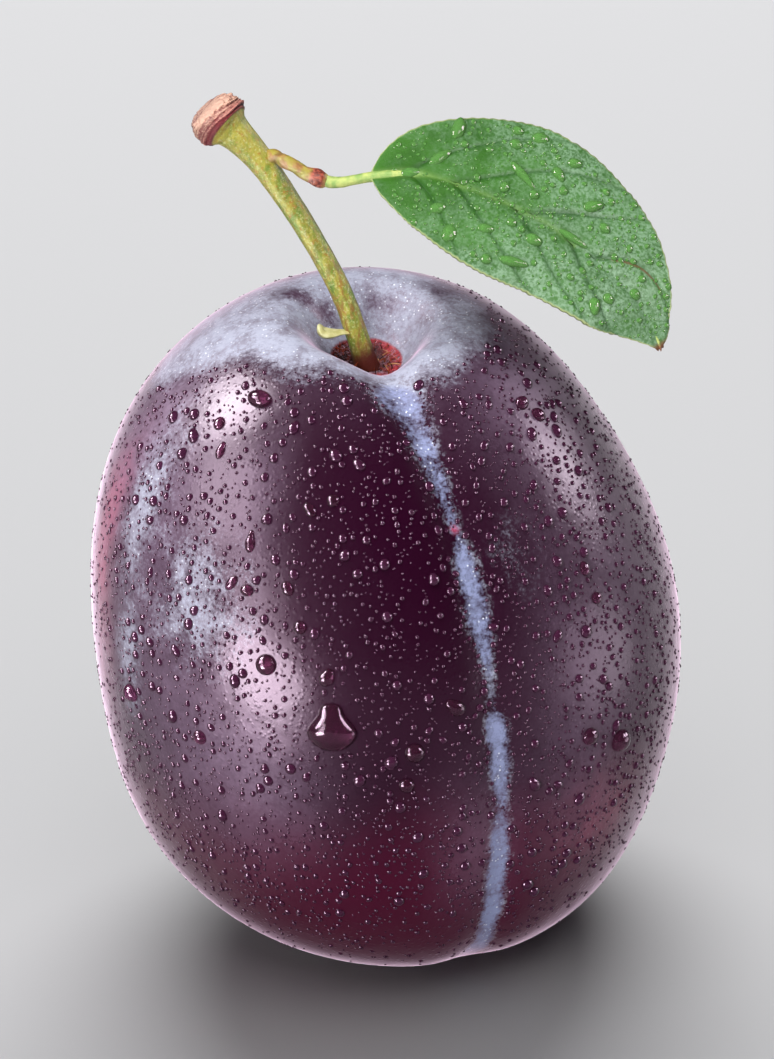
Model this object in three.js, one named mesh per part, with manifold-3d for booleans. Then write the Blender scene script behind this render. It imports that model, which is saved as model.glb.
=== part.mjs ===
// A ripe European plum, picked with its stalk and one leaf on a short side shoot, and wet with dew.
// It stands on the small flat spot at the tip of its base.
// Millimetres, +Z up, origin where the fruit's axis meets that flat spot, 2 mm to -X of the spot's
// middle. The suture, the seam down the fruit, faces -Y and a little to +X. "turn" is an angle round
// the fruit from -Y towards +X, and "polar" is an angle down from the crown, 0, past the widest
// level to the tip of the base, pi.

import * as THREE from "three";
import { mergeVertices } from "three/addons/utils/BufferGeometryUtils.js";
import Module from "manifold-3d";

const wasm = await Module();
wasm.setup();

const { clamp, degToRad, smoothstep } = THREE.MathUtils;
const point = (x, y, z) => new THREE.Vector3(x, y, z);

// ---------- driving dimensions, in millimetres ----------

const FRUIT = {
  radius: 20.85, // half the greatest width
  crown: 27, // greatest width up to where the shoulders would meet without the stalk cavity
  base: 23.2, // greatest width down to the tip of the rounded base
  middle: 23, // height of the greatest width above the flat spot, which shaves 0.2 off the tip
  crownFullness: 0.97, // powers of the sine outline: under 1 is fuller than an ellipse
  baseFullness: 0.66,
  skew: 0.029, // one shoulder and the opposite foot stand this share fuller than the other two
  swell: 0.015, // and the sides roll in and out a little
};
const SUTURE = {
  turn: degToRad(22), // where the seam runs down the fruit
  swing: degToRad(9), // how far it swings back towards the front at the cavity
  depth: 0.42,
  width: 1.5,
  mouthDepth: 1.05, // more depth and width where it leaves the cavity
  mouthWidth: 1.1,
  hollow: 0.4, // the broad hollow on which the two lobes meet
  hollowWidth: 6.5,
};
const CAVITY = {
  dip: 2.3, // the shoulders sink this much towards the stalk, over dipRadius
  dipRadius: 6.4,
  well: 3.9, // and then drop into a steeper well
  wellRadius: 4,
  tilt: 0.12, // lower towards the suture and higher behind, by this slope
};
const SCAR = { radius: 1.5, width: 0.7, height: 0.3 }; // the torn corky ring round the stalk's foot
const GAP = 0.3; // air between two pieces that touch
const BLADE = {
  thick: 0.6,
  full: 6.5,
  fold: 0.35, // how far the halves rise from the midrib, then droop to the margin
  droop: 0.9,
  ripple: 0.2,
  teeth: 18,
  tooth: 0.07,
};

// ---------- solids ----------

/** Moves every point of a geometry to where place puts it, given the point and its uv. */
function reshape(geometry, place) {
  const position = geometry.getAttribute("position");
  const uv = geometry.getAttribute("uv");
  for (let i = 0; i < position.count; i++) {
    const moved = place(point(0, 0, 0).fromBufferAttribute(position, i), uv.getX(i), uv.getY(i));
    position.setXYZ(i, ...moved.toArray());
  }
  return geometry;
}

/** A closed geometry as a solid that can be joined and cut. */
function solid(geometry) {
  const bare = new THREE.BufferGeometry().setAttribute("position", geometry.getAttribute("position"));
  bare.setIndex(geometry.index);
  const merged = mergeVertices(bare, 1e-4);
  const corners = [];
  for (let i = 0; i < merged.index.count; i += 3) {
    const [a, b, c] = merged.index.array.slice(i, i + 3);
    if (a !== b && b !== c && c !== a) corners.push(a, b, c);
  }
  const vertProperties = merged.attributes.position.array;
  const triVerts = new Uint32Array(corners);
  return new wasm.Manifold(new wasm.Mesh({ numProp: 3, vertProperties, triVerts }));
}

/** A solid as a named mesh with its own finish. */
function node(name, made, color, roughness) {
  const { vertProperties, triVerts } = made.getMesh();
  const geometry = new THREE.BufferGeometry();
  geometry.setAttribute("position", new THREE.BufferAttribute(vertProperties, 3));
  geometry.setIndex(new THREE.BufferAttribute(triVerts, 1));
  geometry.computeVertexNormals();
  const mesh = new THREE.Mesh(geometry, new THREE.MeshStandardMaterial({ color, roughness, metalness: 0 }));
  mesh.name = name;
  return mesh;
}

/**
 * A limb: an outline of [radius, distance along it] turned on a lathe, then bent along points.
 * ridge(angle, distance) scales the radius round it, flat squeezes its section, and grow swells it
 * all round.
 */
function limb(points, outline, { sides, steps, grow = 0, ridge = () => 1, flat = 1 }) {
  const curve = new THREE.CatmullRomCurve3(points, false, "centripetal");
  const length = curve.getLength();
  const stations = outline.map(([radius, distance]) => new THREE.Vector2(radius, distance));
  const profile = new THREE.SplineCurve(stations);
  const lathe = new THREE.LatheGeometry(profile.getSpacedPoints(steps), sides);
  const end = outline.at(-1)[1];
  return solid(
    reshape(lathe, (p) => {
      const share = clamp(p.y / length, 0, 1);
      const along = curve.getTangentAt(share);
      const across = point(0, 1, 0).addScaledVector(along, -along.y).normalize();
      const other = across.clone().cross(along);
      const centre = curve.getPointAt(share).addScaledVector(along, p.y - share * length);
      const radius = Math.hypot(p.x, p.z);
      if (radius < 1e-6) return centre.addScaledVector(along, p.y > end / 2 ? grow : -grow);
      const reach = ridge(Math.atan2(p.z, p.x), p.y) + grow / radius;
      return centre.addScaledVector(across, reach * p.x).addScaledVector(other, reach * flat * p.z);
    }),
  );
}

// ---------- fruit ----------

/** The turn of the suture at a polar angle: straight down the fruit, swinging frontwards at the top. */
function sutureTurn(polar) {
  return SUTURE.turn - SUTURE.swing * Math.exp(-Math.max(0, polar - 0.45) / 0.35);
}

/** The plump body before the cavity and the suture are pressed into it. */
function plumpBody(polar, turn) {
  const above = Math.cos(polar) > 0;
  const round = Math.max(Math.sin(polar), 0);
  const out = round ** (above ? FRUIT.crownFullness : FRUIT.baseFullness);
  const uneven = FRUIT.skew * Math.sin(2 * polar) + FRUIT.swell * round * Math.cos(5 * (polar - 0.92));
  const share = 1 - uneven * Math.sin(turn);
  const radius = FRUIT.radius * out * share;
  const height = (above ? FRUIT.crown : FRUIT.base) * Math.cos(polar) * share;
  return point(radius * Math.sin(turn), -radius * Math.cos(turn), FRUIT.middle + height);
}

/** How deep the suture and the hollow between the lobes are pressed in. */
function sutureDepth(polar, turn) {
  const off = turn - sutureTurn(polar);
  const distance = FRUIT.radius * Math.sin(polar) * Math.atan2(Math.sin(off), Math.cos(off));
  const mouth = Math.exp(-((polar / 0.55) ** 2));
  const depth = SUTURE.depth + SUTURE.mouthDepth * mouth;
  const width = SUTURE.width + SUTURE.mouthWidth * mouth;
  const groove = depth * Math.exp(-((distance / width) ** 2));
  const hollow = SUTURE.hollow * Math.exp(-((distance / SUTURE.hollowWidth) ** 2));
  const fromTip = Math.PI - polar;
  const ends = smoothstep(polar, 0.06, 0.24) * smoothstep(fromTip, 0.15, 0.55);
  return (groove + hollow * smoothstep(fromTip, 0.4, 1.1)) * ends;
}

/** How deep the stalk cavity is at a point of the crown, seen from above. */
function cavityDepth(x, y) {
  const distance = Math.hypot(x, y);
  const turn = Math.atan2(x, -y);
  const spread = Math.exp(-((distance / CAVITY.dipRadius) ** 2));
  const well = CAVITY.well * Math.exp(-((distance / CAVITY.wellRadius) ** 3.5));
  const tilt = CAVITY.tilt * distance * Math.cos(turn - SUTURE.turn);
  const ring = Math.exp(-(((distance - SCAR.radius) / SCAR.width) ** 2));
  const scar = SCAR.height * ring * (0.7 + 0.3 * Math.sin(5 * turn));
  return (CAVITY.dip + tilt) * spread + well - scar;
}

/** A point of the finished skin. */
function skin(polar, turn) {
  const step = 1e-3;
  const at = plumpBody(polar, turn);
  const down = plumpBody(polar + step, turn).sub(at);
  const round = plumpBody(polar, turn + step).sub(at);
  at.addScaledVector(down.cross(round).normalize(), -sutureDepth(polar, turn));
  if (polar < Math.PI / 2) at.z -= cavityDepth(at.x, at.y);
  return at;
}

/** The skin's outward normal, by differences. */
function skinNormal(polar, turn) {
  const step = 4e-3;
  const down = skin(polar + step, turn).sub(skin(polar - step, turn));
  const round = skin(polar, turn + step).sub(skin(polar, turn - step));
  return down.cross(round).normalize();
}

/** The whole fruit without dew, from a sphere whose rings crowd at the cavity and columns at the suture. */
function fruitBody() {
  const sphere = new THREE.SphereGeometry(1, 54, 44);
  const crowding = { rings: 0.35, columns: 0.55 };
  return solid(
    reshape(sphere, (_, u, v) => {
      const polar = Math.PI * (1 - v) * (1 - crowding.rings * v);
      const even = 2 * Math.PI * u - Math.PI;
      return skin(polar, sutureTurn(polar) + even - crowding.columns * Math.sin(even));
    }),
  ).trimByPlane([0, 0, 1], 0);
}

// ---------- dew ----------

/** A repeatable number from 0 to 1 for a count, without a random draw. */
function scatter(count, salt) {
  const wave = Math.sin(count * 12.9898 + salt * 78.233) * 43758.5453;
  return wave - Math.floor(wave);
}

/**
 * A bead of water, half sunk in what it sits on. wide and long are its size there, tall is how far it
 * stands out, slant turns it from upright, and tail draws its upper end in.
 */
function bead(at, normal, upright, { wide, long = wide, tall = 0.42 * wide, slant = 0, tail = 0 }) {
  const up = upright.clone().addScaledVector(normal, -upright.dot(normal)).normalize();
  up.applyAxisAngle(normal, slant);
  const across = up.clone().cross(normal);
  const frame = new THREE.Matrix4().makeBasis(across, up, normal).setPosition(at);
  const place = (p) => {
    const [x, y, z] = [p.x, -p.z, p.y];
    const narrow = 1 - tail * smoothstep(y, -0.35, 1);
    const low = 1 - 0.45 * tail * Math.max(y, 0);
    return point((x * narrow * wide) / 2, (y * long) / 2, z * tall * low).applyMatrix4(frame);
  };
  return solid(reshape(new THREE.SphereGeometry(1, 8, 6), place));
}

// The larger drops on the suture side, where each one hangs, with turn in degrees.
const FRONT_DROPS = [
  { polar: 1.44, turn: -11, wide: 3.4, long: 3.3, tall: 1.15, tail: 0.55 },
  { polar: 1.29, turn: -24, wide: 1.5 },
  { polar: 1.31, turn: -11.6, wide: 1.2, long: 1.35, tail: 0.3, slant: -0.5 },
  { polar: 1.42, turn: 13.2, wide: 1.15, long: 1.6, slant: 0.8, tail: 0.3 },
  { polar: 1.53, turn: 4.6, wide: 1.4 },
  { polar: 1.63, turn: 2.7, wide: 1.1 },
  { polar: 1.69, turn: 50, wide: 1.7 },
  { polar: 1.62, turn: 41.7, wide: 1.3 },
  { polar: 1.51, turn: -60, wide: 1.5, long: 1.3 },
  { polar: 0.56, turn: -41, wide: 1.9, long: 1.3, tall: 0.7 },
  { polar: 0.66, turn: 57, wide: 1.2, long: 1 },
  { polar: 0.72, turn: 60, wide: 1, long: 1.2, slant: 0.7 },
  { polar: 0.97, turn: -29.7, wide: 0.8, long: 1.6, tail: 0.5 },
  { polar: 1.09, turn: -32.8, wide: 0.7, long: 1.3, slant: -0.6 },
  { polar: 1.1, turn: -29, wide: 1, long: 0.85 },
  { polar: 1.08, turn: -20, wide: 0.85, long: 1.1, slant: 0.5 },
  { polar: 1.18, turn: -17, wide: 0.95 },
  { polar: 1.54, turn: -39.5, wide: 1.1 },
  { polar: 0.86, turn: -16.3, wide: 0.75, long: 1.2, slant: 0.7 },
  { polar: 0.83, turn: -10.6, wide: 0.9 },
  { polar: 1.17, turn: 49, wide: 0.85, long: 1.1 },
  { polar: 1.26, turn: 49.6, wide: 0.9 },
  { polar: 0.68, turn: -50, wide: 0.85, long: 1 },
  { polar: 0.75, turn: -45, wide: 0.7, long: 1.3, tail: 0.3 },
];

/** The drops on the fruit that are large enough to be relief: those above, then a spiral on the back. */
function fruitDrops() {
  const spiral = 60;
  const goldenAngle = Math.PI * (3 - Math.sqrt(5));
  const drops = FRONT_DROPS.map((drop) => ({ ...drop, turn: degToRad(drop.turn) }));
  for (let i = 0; i < spiral; i++) {
    const turn = i * goldenAngle;
    const polar = 0.55 + 0.52 * Math.acos(1 - (2 * (i + 0.5)) / spiral);
    const wide = 0.75 + 0.85 * scatter(i, 1) ** 2;
    const long = wide * (1 + 0.5 * scatter(i, 2));
    if (Math.cos(turn - degToRad(5)) < -0.25) drops.push({ polar, turn, wide, long, tail: 0.25 });
  }
  const upright = point(0, 0, 1);
  return drops.map((drop) => {
    const { polar, turn } = drop;
    return bead(skin(polar, turn), skinNormal(polar, turn), upright, drop);
  });
}

// ---------- stalk with its side shoot, and bract ----------

const STALK_LINE = [
  point(0.5, -0.1, 42),
  point(-0.05, 0, 44.1),
  point(-0.63, 0.1, 46.6),
  point(-1.55, 0.4, 49.75),
  point(-3.46, 0.9, 54),
  point(-4.7, 1.2, 56.35),
  point(-6.1, 1.5, 58.8),
  point(-7.25, 1.7, 60.5),
  point(-8.3, 1.8, 61.75),
  point(-9.3, 1.95, 62.8),
  point(-10, 2.05, 63.75),
];
// Slim at the foot, then a flare into the woody knob where it broke from the branch.
const STALK_OUTLINE = [
  [0, 0],
  [0.95, 0.3],
  [0.88, 1.8],
  [0.75, 4],
  [0.75, 12],
  [0.83, 17],
  [0.94, 19.5],
  [1.17, 21.2],
  [1.32, 21.9],
  [1.45, 22.3],
  [1.7, 22.7],
  [1.83, 23.2],
  [1.75, 23.8],
  [1.4, 24.2],
  [0, 24.4],
];
/** The stalk is faintly ribbed, and its woody end is lumpy. */
const stalkRidge = (angle, distance) =>
  1 + 0.03 * Math.cos(3 * angle) + 0.05 * smoothstep(distance, 22.2, 22.9) * Math.sin(5 * angle + 1.1);

// The short shoot leaves the stalk, swells at an old leaf ring and ends in the bud that carries the leaf.
const SHOOT_LINE = [
  point(-6.6, 1.6, 59.5),
  point(-5.65, 1.4, 59.85),
  point(-5, 0.85, 59.8),
  point(-4.3, 0.5, 59.5),
  point(-3.45, 0.2, 59),
  point(-2.45, 0, 58.55),
  point(-1.95, -0.08, 58.37),
];
const SHOOT_OUTLINE = [
  [0, 0],
  [0.55, 0.2],
  [0.53, 1.2],
  [0.42, 1.65],
  [0.5, 2.1],
  [0.45, 3.4],
  [0.5, 4.2],
  [0.64, 4.7],
  [0.6, 5.2],
  [0, 5.5],
];
const shootRidge = (angle, distance) => 1 + 0.08 * Math.sin(3 * angle + 4 * distance);

/** The stalk and its side shoot, in one piece. grow swells them, to clear a socket with. */
function stalk(grow = 0) {
  const main = limb(STALK_LINE, STALK_OUTLINE, { sides: 14, steps: 38, grow, ridge: stalkRidge });
  const side = limb(SHOOT_LINE, SHOOT_OUTLINE, { sides: 10, steps: 16, grow, ridge: shootRidge });
  return main.add(side);
}

// A dry bract clings to the stalk's foot and curls up at its tip.
const BRACT_LINE = [
  point(-0.9, -0.15, 46.7),
  point(-2, -0.5, 46.9),
  point(-2.45, -0.65, 46.95),
  point(-2.95, -0.7, 47.1),
  point(-3.2, -0.6, 47.6),
];
const BRACT_OUTLINE = [
  [0, 0],
  [0.3, 0.2],
  [0.34, 1.1],
  [0.62, 1.9],
  [0.55, 2.5],
  [0, 2.9],
];
const bract = () => limb(BRACT_LINE, BRACT_OUTLINE, { sides: 10, steps: 10, flat: 0.62 });

// ---------- leaf ----------

// The midrib of the blade from its foot, where the leaf stalk ends, to its tip.
const MIDRIB = new THREE.CatmullRomCurve3(
  [
    point(1.05, -0.5, 58.85),
    point(4.5, -1, 58.95),
    point(9.15, -2.2, 57.5),
    point(13.1, -3.4, 55.6),
    point(16.1, -4.5, 53.2),
    point(18.8, -5.4, 50.6),
    point(20.45, -6.2, 46.9),
  ],
  false,
  "centripetal",
);
const SKYWARD = point(0.15, -0.62, 0.77).normalize(); // the way the blade's upper face looks

/** A smooth curve through rows of two numbers. */
function curve(rows) {
  const [places, values] = [0, 1].map((column) => rows.map((row) => row[column]));
  return new THREE.CubicInterpolant(places, values, 1);
}

// The blade's half-widths at shares of its length: the half towards the sky, then the lower half.
const UPPER_HALF = curve([
  [0, 0.15],
  [0.03, 1.8],
  [0.1, 3.25],
  [0.2, 5.1],
  [0.3, 6.25],
  [0.4, 6.75],
  [0.5, 6.6],
  [0.6, 6.15],
  [0.7, 5.65],
  [0.77, 4.75],
  [0.85, 3.05],
  [0.92, 1.75],
  [0.97, 0.95],
  [1, 0.15],
]);
const LOWER_HALF = curve([
  [0, 0.15],
  [0.03, 2.1],
  [0.1, 3.55],
  [0.2, 4.45],
  [0.3, 5.15],
  [0.4, 5.55],
  [0.5, 5.4],
  [0.6, 4.95],
  [0.7, 4.45],
  [0.8, 4],
  [0.86, 3.4],
  [0.92, 2.1],
  [0.97, 0.9],
  [1, 0.15],
]);

/** The blade's frame at a share of its length: its midrib point, the way to its upper edge, and up. */
function bladeFrame(along) {
  const tangent = MIDRIB.getTangentAt(along);
  const up = SKYWARD.clone().addScaledVector(tangent, -SKYWARD.dot(tangent)).normalize();
  return { centre: MIDRIB.getPointAt(along), sideways: up.clone().cross(tangent), up };
}

/** A point of the blade, lift above its middle. across runs from -1, its lower margin, to 1, its upper. */
function blade(along, across, lift = 0) {
  const { centre, sideways, up } = bladeFrame(along);
  const scallop = Math.abs(Math.sin(Math.PI * BLADE.teeth * along)) - 0.6;
  const [width] = (across > 0 ? UPPER_HALF : LOWER_HALF).evaluate(along);
  const out = Math.abs(across) * (width + BLADE.tooth * scallop * across ** 6);
  const share = out / BLADE.full;
  const wave = BLADE.ripple * share ** 2 * Math.sin(15 * along + (across > 0 ? 0.6 : 2.4));
  const rise = BLADE.fold * share - BLADE.droop * share ** 2 + wave + lift;
  return centre.addScaledVector(sideways, Math.sign(across) * out).addScaledVector(up, rise);
}

/** The blade as a closed sheet: one plane's grid laid twice, with its triangles alike, and a rim between. */
function bladeSheet() {
  const rows = 54;
  const columns = 8;
  const face = (lift) =>
    reshape(new THREE.PlaneGeometry(1, 1, columns, rows), (_, u, v) => blade(v, 2 * u - 1, lift));
  const upper = face(BLADE.thick / 2);
  const lower = face(-BLADE.thick / 2);
  const under = upper.getAttribute("position").count;
  const index = [];
  for (let i = 0; i < upper.index.count; i += 3) {
    const [a, b, c] = upper.index.array.slice(i, i + 3);
    index.push(a, c, b, under + a, under + b, under + c);
  }
  const corner = (row, column) => row * (columns + 1) + column;
  const rim = [];
  for (let column = 0; column < columns; column++) rim.push(corner(0, column));
  for (let row = 0; row < rows; row++) rim.push(corner(row, columns));
  for (let column = columns; column > 0; column--) rim.push(corner(rows, column));
  for (let row = rows; row > 0; row--) rim.push(corner(row, 0));
  rim.forEach((a, i) => {
    const b = rim[(i + 1) % rim.length];
    index.push(a, under + b, b, a, under + a, under + b);
  });
  const points = [upper, lower].flatMap((sheet) => [...sheet.getAttribute("position").array]);
  const geometry = new THREE.BufferGeometry();
  geometry.setAttribute("position", new THREE.Float32BufferAttribute(points, 3));
  geometry.setIndex(index);
  return solid(geometry);
}

/** The leaf's stalk, which runs on under the blade as its midrib and ends in a small point. */
function leafRib() {
  const line = [
    point(-2.2, -0.05, 58.45),
    point(-1.75, -0.1, 58.32),
    point(-0.9, -0.2, 58.3),
    point(-0.03, -0.3, 58.48),
    blade(0.01, 0, -0.1),
    ...[0.15, 0.35, 0.55, 0.75, 0.9].map((along) => blade(along, 0, -0.25)),
    blade(1, 0),
    point(20.4, -6.25, 46.15),
  ];
  const outline = [
    [0, 0],
    [0.46, 0.1],
    [0.44, 1],
    [0.36, 2.5],
    [0.42, 6],
    [0.36, 14],
    [0.26, 25],
    [0.18, 28.1],
    [0, 29],
  ];
  return limb(line, outline, { sides: 8, steps: 22 });
}

// The drops that lie on the blade, some of them drawn out along a side vein.
const LEAF_DROPS = [
  { along: 0.2, across: 0.81, wide: 1.9, long: 1, tall: 0.45 },
  { along: 0.18, across: 0.32, wide: 0.9, long: 1.9, slant: 0.9 },
  { along: 0.11, across: 0.03, wide: 0.9, long: 1.5, slant: 0.2 },
  { along: 0.4, across: 0.36, wide: 0.7, long: 2.6, slant: -0.5 },
  { along: 0.48, across: 0.56, wide: 0.8, long: 1.3, slant: -0.6 },
  { along: 0.59, across: 0.51, wide: 0.9, long: 1.6, slant: 0.9 },
  { along: 0.28, across: -0.75, wide: 1.5, long: 1.1 },
  { along: 0.22, across: -0.5, wide: 0.9, long: 1.3, slant: 0.6 },
  { along: 0.49, across: -0.7, wide: 0.75, long: 2.2, slant: 0.3 },
  { along: 0.51, across: -0.3, wide: 0.95, long: 1.3, slant: 0.2 },
  { along: 0.4, across: 0.86, wide: 1, long: 1.3, slant: 0.3 },
  { along: 0.76, across: -0.66, wide: 0.9, long: 1.3, slant: -0.9 },
  { along: 0.83, across: 0.04, wide: 0.8, long: 0.9 },
];
function leafDrops() {
  return LEAF_DROPS.map((drop) => {
    const at = blade(drop.along, drop.across, BLADE.thick / 2);
    return bead(at, bladeFrame(drop.along).up, MIDRIB.getTangentAt(drop.along), { tall: 0.38, ...drop });
  });
}

// ---------- the plum ----------

const plum = new THREE.Group();
plum.name = "plum";

const roomForStalk = stalk(GAP);
const fruit = wasm.Manifold.union([fruitBody(), ...fruitDrops()]).subtract(roomForStalk);
const leaf = wasm.Manifold.union([bladeSheet(), leafRib(), ...leafDrops()]).subtract(roomForStalk);
plum.add(
  node("fruit", fruit, "#43172f", 0.38),
  node("stem", stalk(), "#8f9f3c", 0.6),
  node("bract", bract().subtract(roomForStalk), "#d9cf86", 0.65),
  node("leaf", leaf, "#3f8a35", 0.45),
);

export default plum;
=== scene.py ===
"""A ripe plum with its stalk, one leaf and dew, standing on a pale floor.

It is laid out as an add-on and run as a script: one operator makes each piece, one sets the stage,
and a panel lists them. Shapes are worked out in millimetres and written to the meshes in metres, in
the part's own frame: +Z up, with the origin in the flat spot that the plum stands on.
"turn" is an angle round the fruit from -Y towards +X, and "polar" is an angle down from the crown,
0, past the widest level to the tip of the base, pi.
"""

import math

import bpy
import numpy as np
from bpy.props import FloatProperty, FloatVectorProperty, IntProperty, PointerProperty
from mathutils import Matrix, Vector, noise


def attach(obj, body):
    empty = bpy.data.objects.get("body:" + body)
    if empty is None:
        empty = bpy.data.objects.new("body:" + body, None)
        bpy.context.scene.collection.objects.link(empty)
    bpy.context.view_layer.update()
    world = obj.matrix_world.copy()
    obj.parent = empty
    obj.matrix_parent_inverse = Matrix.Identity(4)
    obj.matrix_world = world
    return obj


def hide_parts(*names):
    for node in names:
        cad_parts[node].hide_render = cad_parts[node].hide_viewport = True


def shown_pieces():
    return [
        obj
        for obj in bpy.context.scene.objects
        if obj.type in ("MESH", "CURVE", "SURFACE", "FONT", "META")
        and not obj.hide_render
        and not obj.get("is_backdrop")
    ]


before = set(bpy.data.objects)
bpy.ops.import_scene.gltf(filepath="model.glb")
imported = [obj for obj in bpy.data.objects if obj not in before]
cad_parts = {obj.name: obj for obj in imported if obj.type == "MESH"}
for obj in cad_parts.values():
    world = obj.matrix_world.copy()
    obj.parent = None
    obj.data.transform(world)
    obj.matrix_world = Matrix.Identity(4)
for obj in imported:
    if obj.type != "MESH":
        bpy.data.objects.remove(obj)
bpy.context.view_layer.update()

bl_info = {
    "name": "Plum with Leaf and Dew",
    "version": (1, 0, 0),
    "blender": (4, 5, 0),
    "location": "3D View > Sidebar > Plum",
    "description": "Makes a ripe plum with its stalk, leaf and dew, piece by piece",
    "category": "Add Mesh",
}

MM = 0.001
UPRIGHT = np.array([0.0, 0.0, 1.0])


# ---------- what a user would change ----------


def colour(name, description, default):
    """A colour setting."""
    return FloatVectorProperty(
        name=name,
        description=description,
        default=(*default, 1),
        size=4,
        min=0,
        max=1,
        subtype="COLOR",
    )


def share(name, description, default, high=1.0):
    """A setting that is a share, from 0."""
    return FloatProperty(
        name=name, description=description, default=default, min=0, max=high, subtype="FACTOR"
    )


def tally(name, description, default, high):
    """A setting that is a whole number, from 0."""
    return IntProperty(name=name, description=description, default=default, min=0, max=high)


class FruitSettings(bpy.types.PropertyGroup):
    """The fruit's colours and its wax bloom."""

    skin: colour("Skin", "Colour of the ripe skin where it is darkest", (0.012, 0.0007, 0.0065))
    ripe: colour("Ripe red", "Wine red of the skin towards the foot", (0.042, 0.0012, 0.012))
    blush: colour("Blush", "Pinkish red streak on one cheek", (0.26, 0.035, 0.075))
    bloom: colour("Bloom", "Colour of the wax bloom", (0.29, 0.305, 0.38))
    # The thin film is partly wax and partly a painted highlight.
    film_and_painted_highlight: colour("Thin film", "Thin even film of wax", (0.3, 0.2, 0.305))
    seam: colour("Seam bloom", "Bluer colour of the bloom along the seam", (0.178, 0.203, 0.33))
    bloom_amount: share("Bloom amount", "How much of the bloom is left on the skin", 1.0, 2.0)
    scar: colour("Scar", "Red of the torn ring round the stalk's foot", (0.3, 0.015, 0.019))


class DewSettings(bpy.types.PropertyGroup):
    """How much dew lies on the fruit and the leaf."""

    fine: tally("Fine drops", "Fine drops tried on the fruit", 26000, 26000)
    beads: tally("Beads", "Middling drops tried on the fruit", 2000, 2200)
    on_leaf: tally("On the leaf", "Fine drops tried on the leaf", 1600, 2000)
    seed: tally("Seed", "Another seed lays the dew elsewhere", 7, 1000)


class StalkSettings(bpy.types.PropertyGroup):
    """The colours of the stalk and its side shoot."""

    green: colour("Green", "Green of the stalk", (0.1, 0.16, 0.018))
    yellow: colour("Yellow", "Yellow that it turns to", (0.31, 0.27, 0.04))
    brown: colour("Brown", "Orange brown of its mottling", (0.28, 0.09, 0.012))
    knob: colour("Knob", "Pink of the woody knob", (0.36, 0.12, 0.1))
    bract: colour("Bract", "Pale yellow of the dry bract", (0.36, 0.33, 0.12))


class LeafSettings(bpy.types.PropertyGroup):
    """The leaf's colours and how thick it is."""

    blade: colour("Blade", "Green of the blade", (0.016, 0.066, 0.005))
    pale: colour("Veins", "Pale green of the midrib, the veins and the margin", (0.17, 0.27, 0.072))
    # The wet film is partly water and partly a painted sheen.
    film_and_painted_highlight: colour("Wet film", "Pale film of water, thicker further out", (0.165, 0.265, 0.165))
    thick: FloatProperty(
        name="Thickness", description="Thickness of the blade", default=0.00026, subtype="DISTANCE"
    )


class StageSettings(bpy.types.PropertyGroup):
    """The floor and the studio light."""

    floor: colour("Floor", "Colour of the plain floor", (0.6, 0.6, 0.61))
    sky: colour("Sky", "Colour of the light from all round", (0.9, 0.93, 1.0))
    sky_strength: FloatProperty(
        name="Sky strength", description="Light from all round", default=0.05, min=0
    )
    lamps: FloatProperty(
        name="Lamp strength", description="Scales all the lamps", default=1.0, min=0
    )


# ---------- shaping by hand ----------


def add(primitive, **settings):
    """Adds a primitive with nothing else selected, and returns its object."""
    if bpy.context.object and bpy.context.object.mode != "OBJECT":
        bpy.ops.object.mode_set(mode="OBJECT")
    bpy.ops.object.select_all(action="DESELECT")
    primitive(**settings)
    return bpy.context.object


def apply_modifier(piece, kind, **settings):
    """Adds a modifier and applies it."""
    bpy.context.view_layer.objects.active = piece
    modifier = piece.modifiers.new(kind.title(), kind)
    for name, value in settings.items():
        setattr(modifier, name, value)
    bpy.ops.object.modifier_apply(modifier=modifier.name)


def corners(piece):
    """A piece's points as rows of x, y, z, in metres."""
    flat = np.zeros(len(piece.data.vertices) * 3)
    piece.data.vertices.foreach_get("co", flat)
    return flat.reshape(-1, 3)


def reshape(piece, points):
    """Moves a piece's points to the given ones, in millimetres."""
    piece.data.vertices.foreach_set("co", (np.asarray(points) * MM).ravel())
    piece.data.update()


def mark(piece, name, values):
    """Keeps a number for each point of a piece, for its finish to read."""
    layer = piece.data.attributes.get(name) or piece.data.attributes.new(name, "FLOAT", "POINT")
    layer.data.foreach_set("value", np.asarray(values, dtype=np.float32))


def marked(piece, name):
    """The numbers kept under a name for each point of a piece."""
    values = np.zeros(len(piece.data.vertices), np.float32)
    piece.data.attributes[name].data.foreach_get("value", values)
    return values


def copy_out(mould, bodies):
    """Makes a piece of copies of itself, one for each body of points, in millimetres."""
    faces = [list(face.vertices) for face in mould.data.polygons]
    size = len(mould.data.vertices)
    starts = range(0, size * len(bodies), size)
    polygons = [[start + i for i in face] for start in starts for face in faces]
    points = np.concatenate(bodies)
    mesh = bpy.data.meshes.new("copies")
    mesh.from_pydata(points.tolist(), [], polygons)
    mould.data = mesh
    reshape(mould, points)


def join(piece, *others):
    """Joins pieces into the first one, each part keeping its own material."""
    bpy.ops.object.select_all(action="DESELECT")
    for other in (piece, *others):
        other.select_set(True)
    bpy.context.view_layer.objects.active = piece
    bpy.ops.object.join()


def settle(piece, name, slot, finish, *nodes):
    """Names a finished piece, gives it its finish and its place in the part.

    The finish is None where the piece's parts have got their own.
    """
    piece.name = name
    piece.data.name = name
    if finish:
        piece.data.materials.clear()
        piece.data.materials.append(finish)
    piece.data.shade_smooth()
    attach(piece, "root")
    if nodes:
        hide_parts(*nodes)


def smoothstep(value, low, high):
    """0 below low, 1 above high and an even S between them."""
    way = np.clip((value - low) / (high - low), 0, 1)
    return way * way * (3 - 2 * way)


def hump(value, middle, reach):
    """1 at the middle, dying away over reach."""
    return np.exp(-(((value - middle) / reach) ** 2))


def unit(vectors):
    """The vectors, each one long."""
    return vectors / np.linalg.norm(vectors, axis=-1, keepdims=True)


def rough(points, size, seed=0.0):
    """Smooth noise from -1 to 1 at each point, with lumps about size across."""
    return np.array([noise.noise(Vector(p) / size + Vector((seed, 0, 0))) for p in points])


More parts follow.
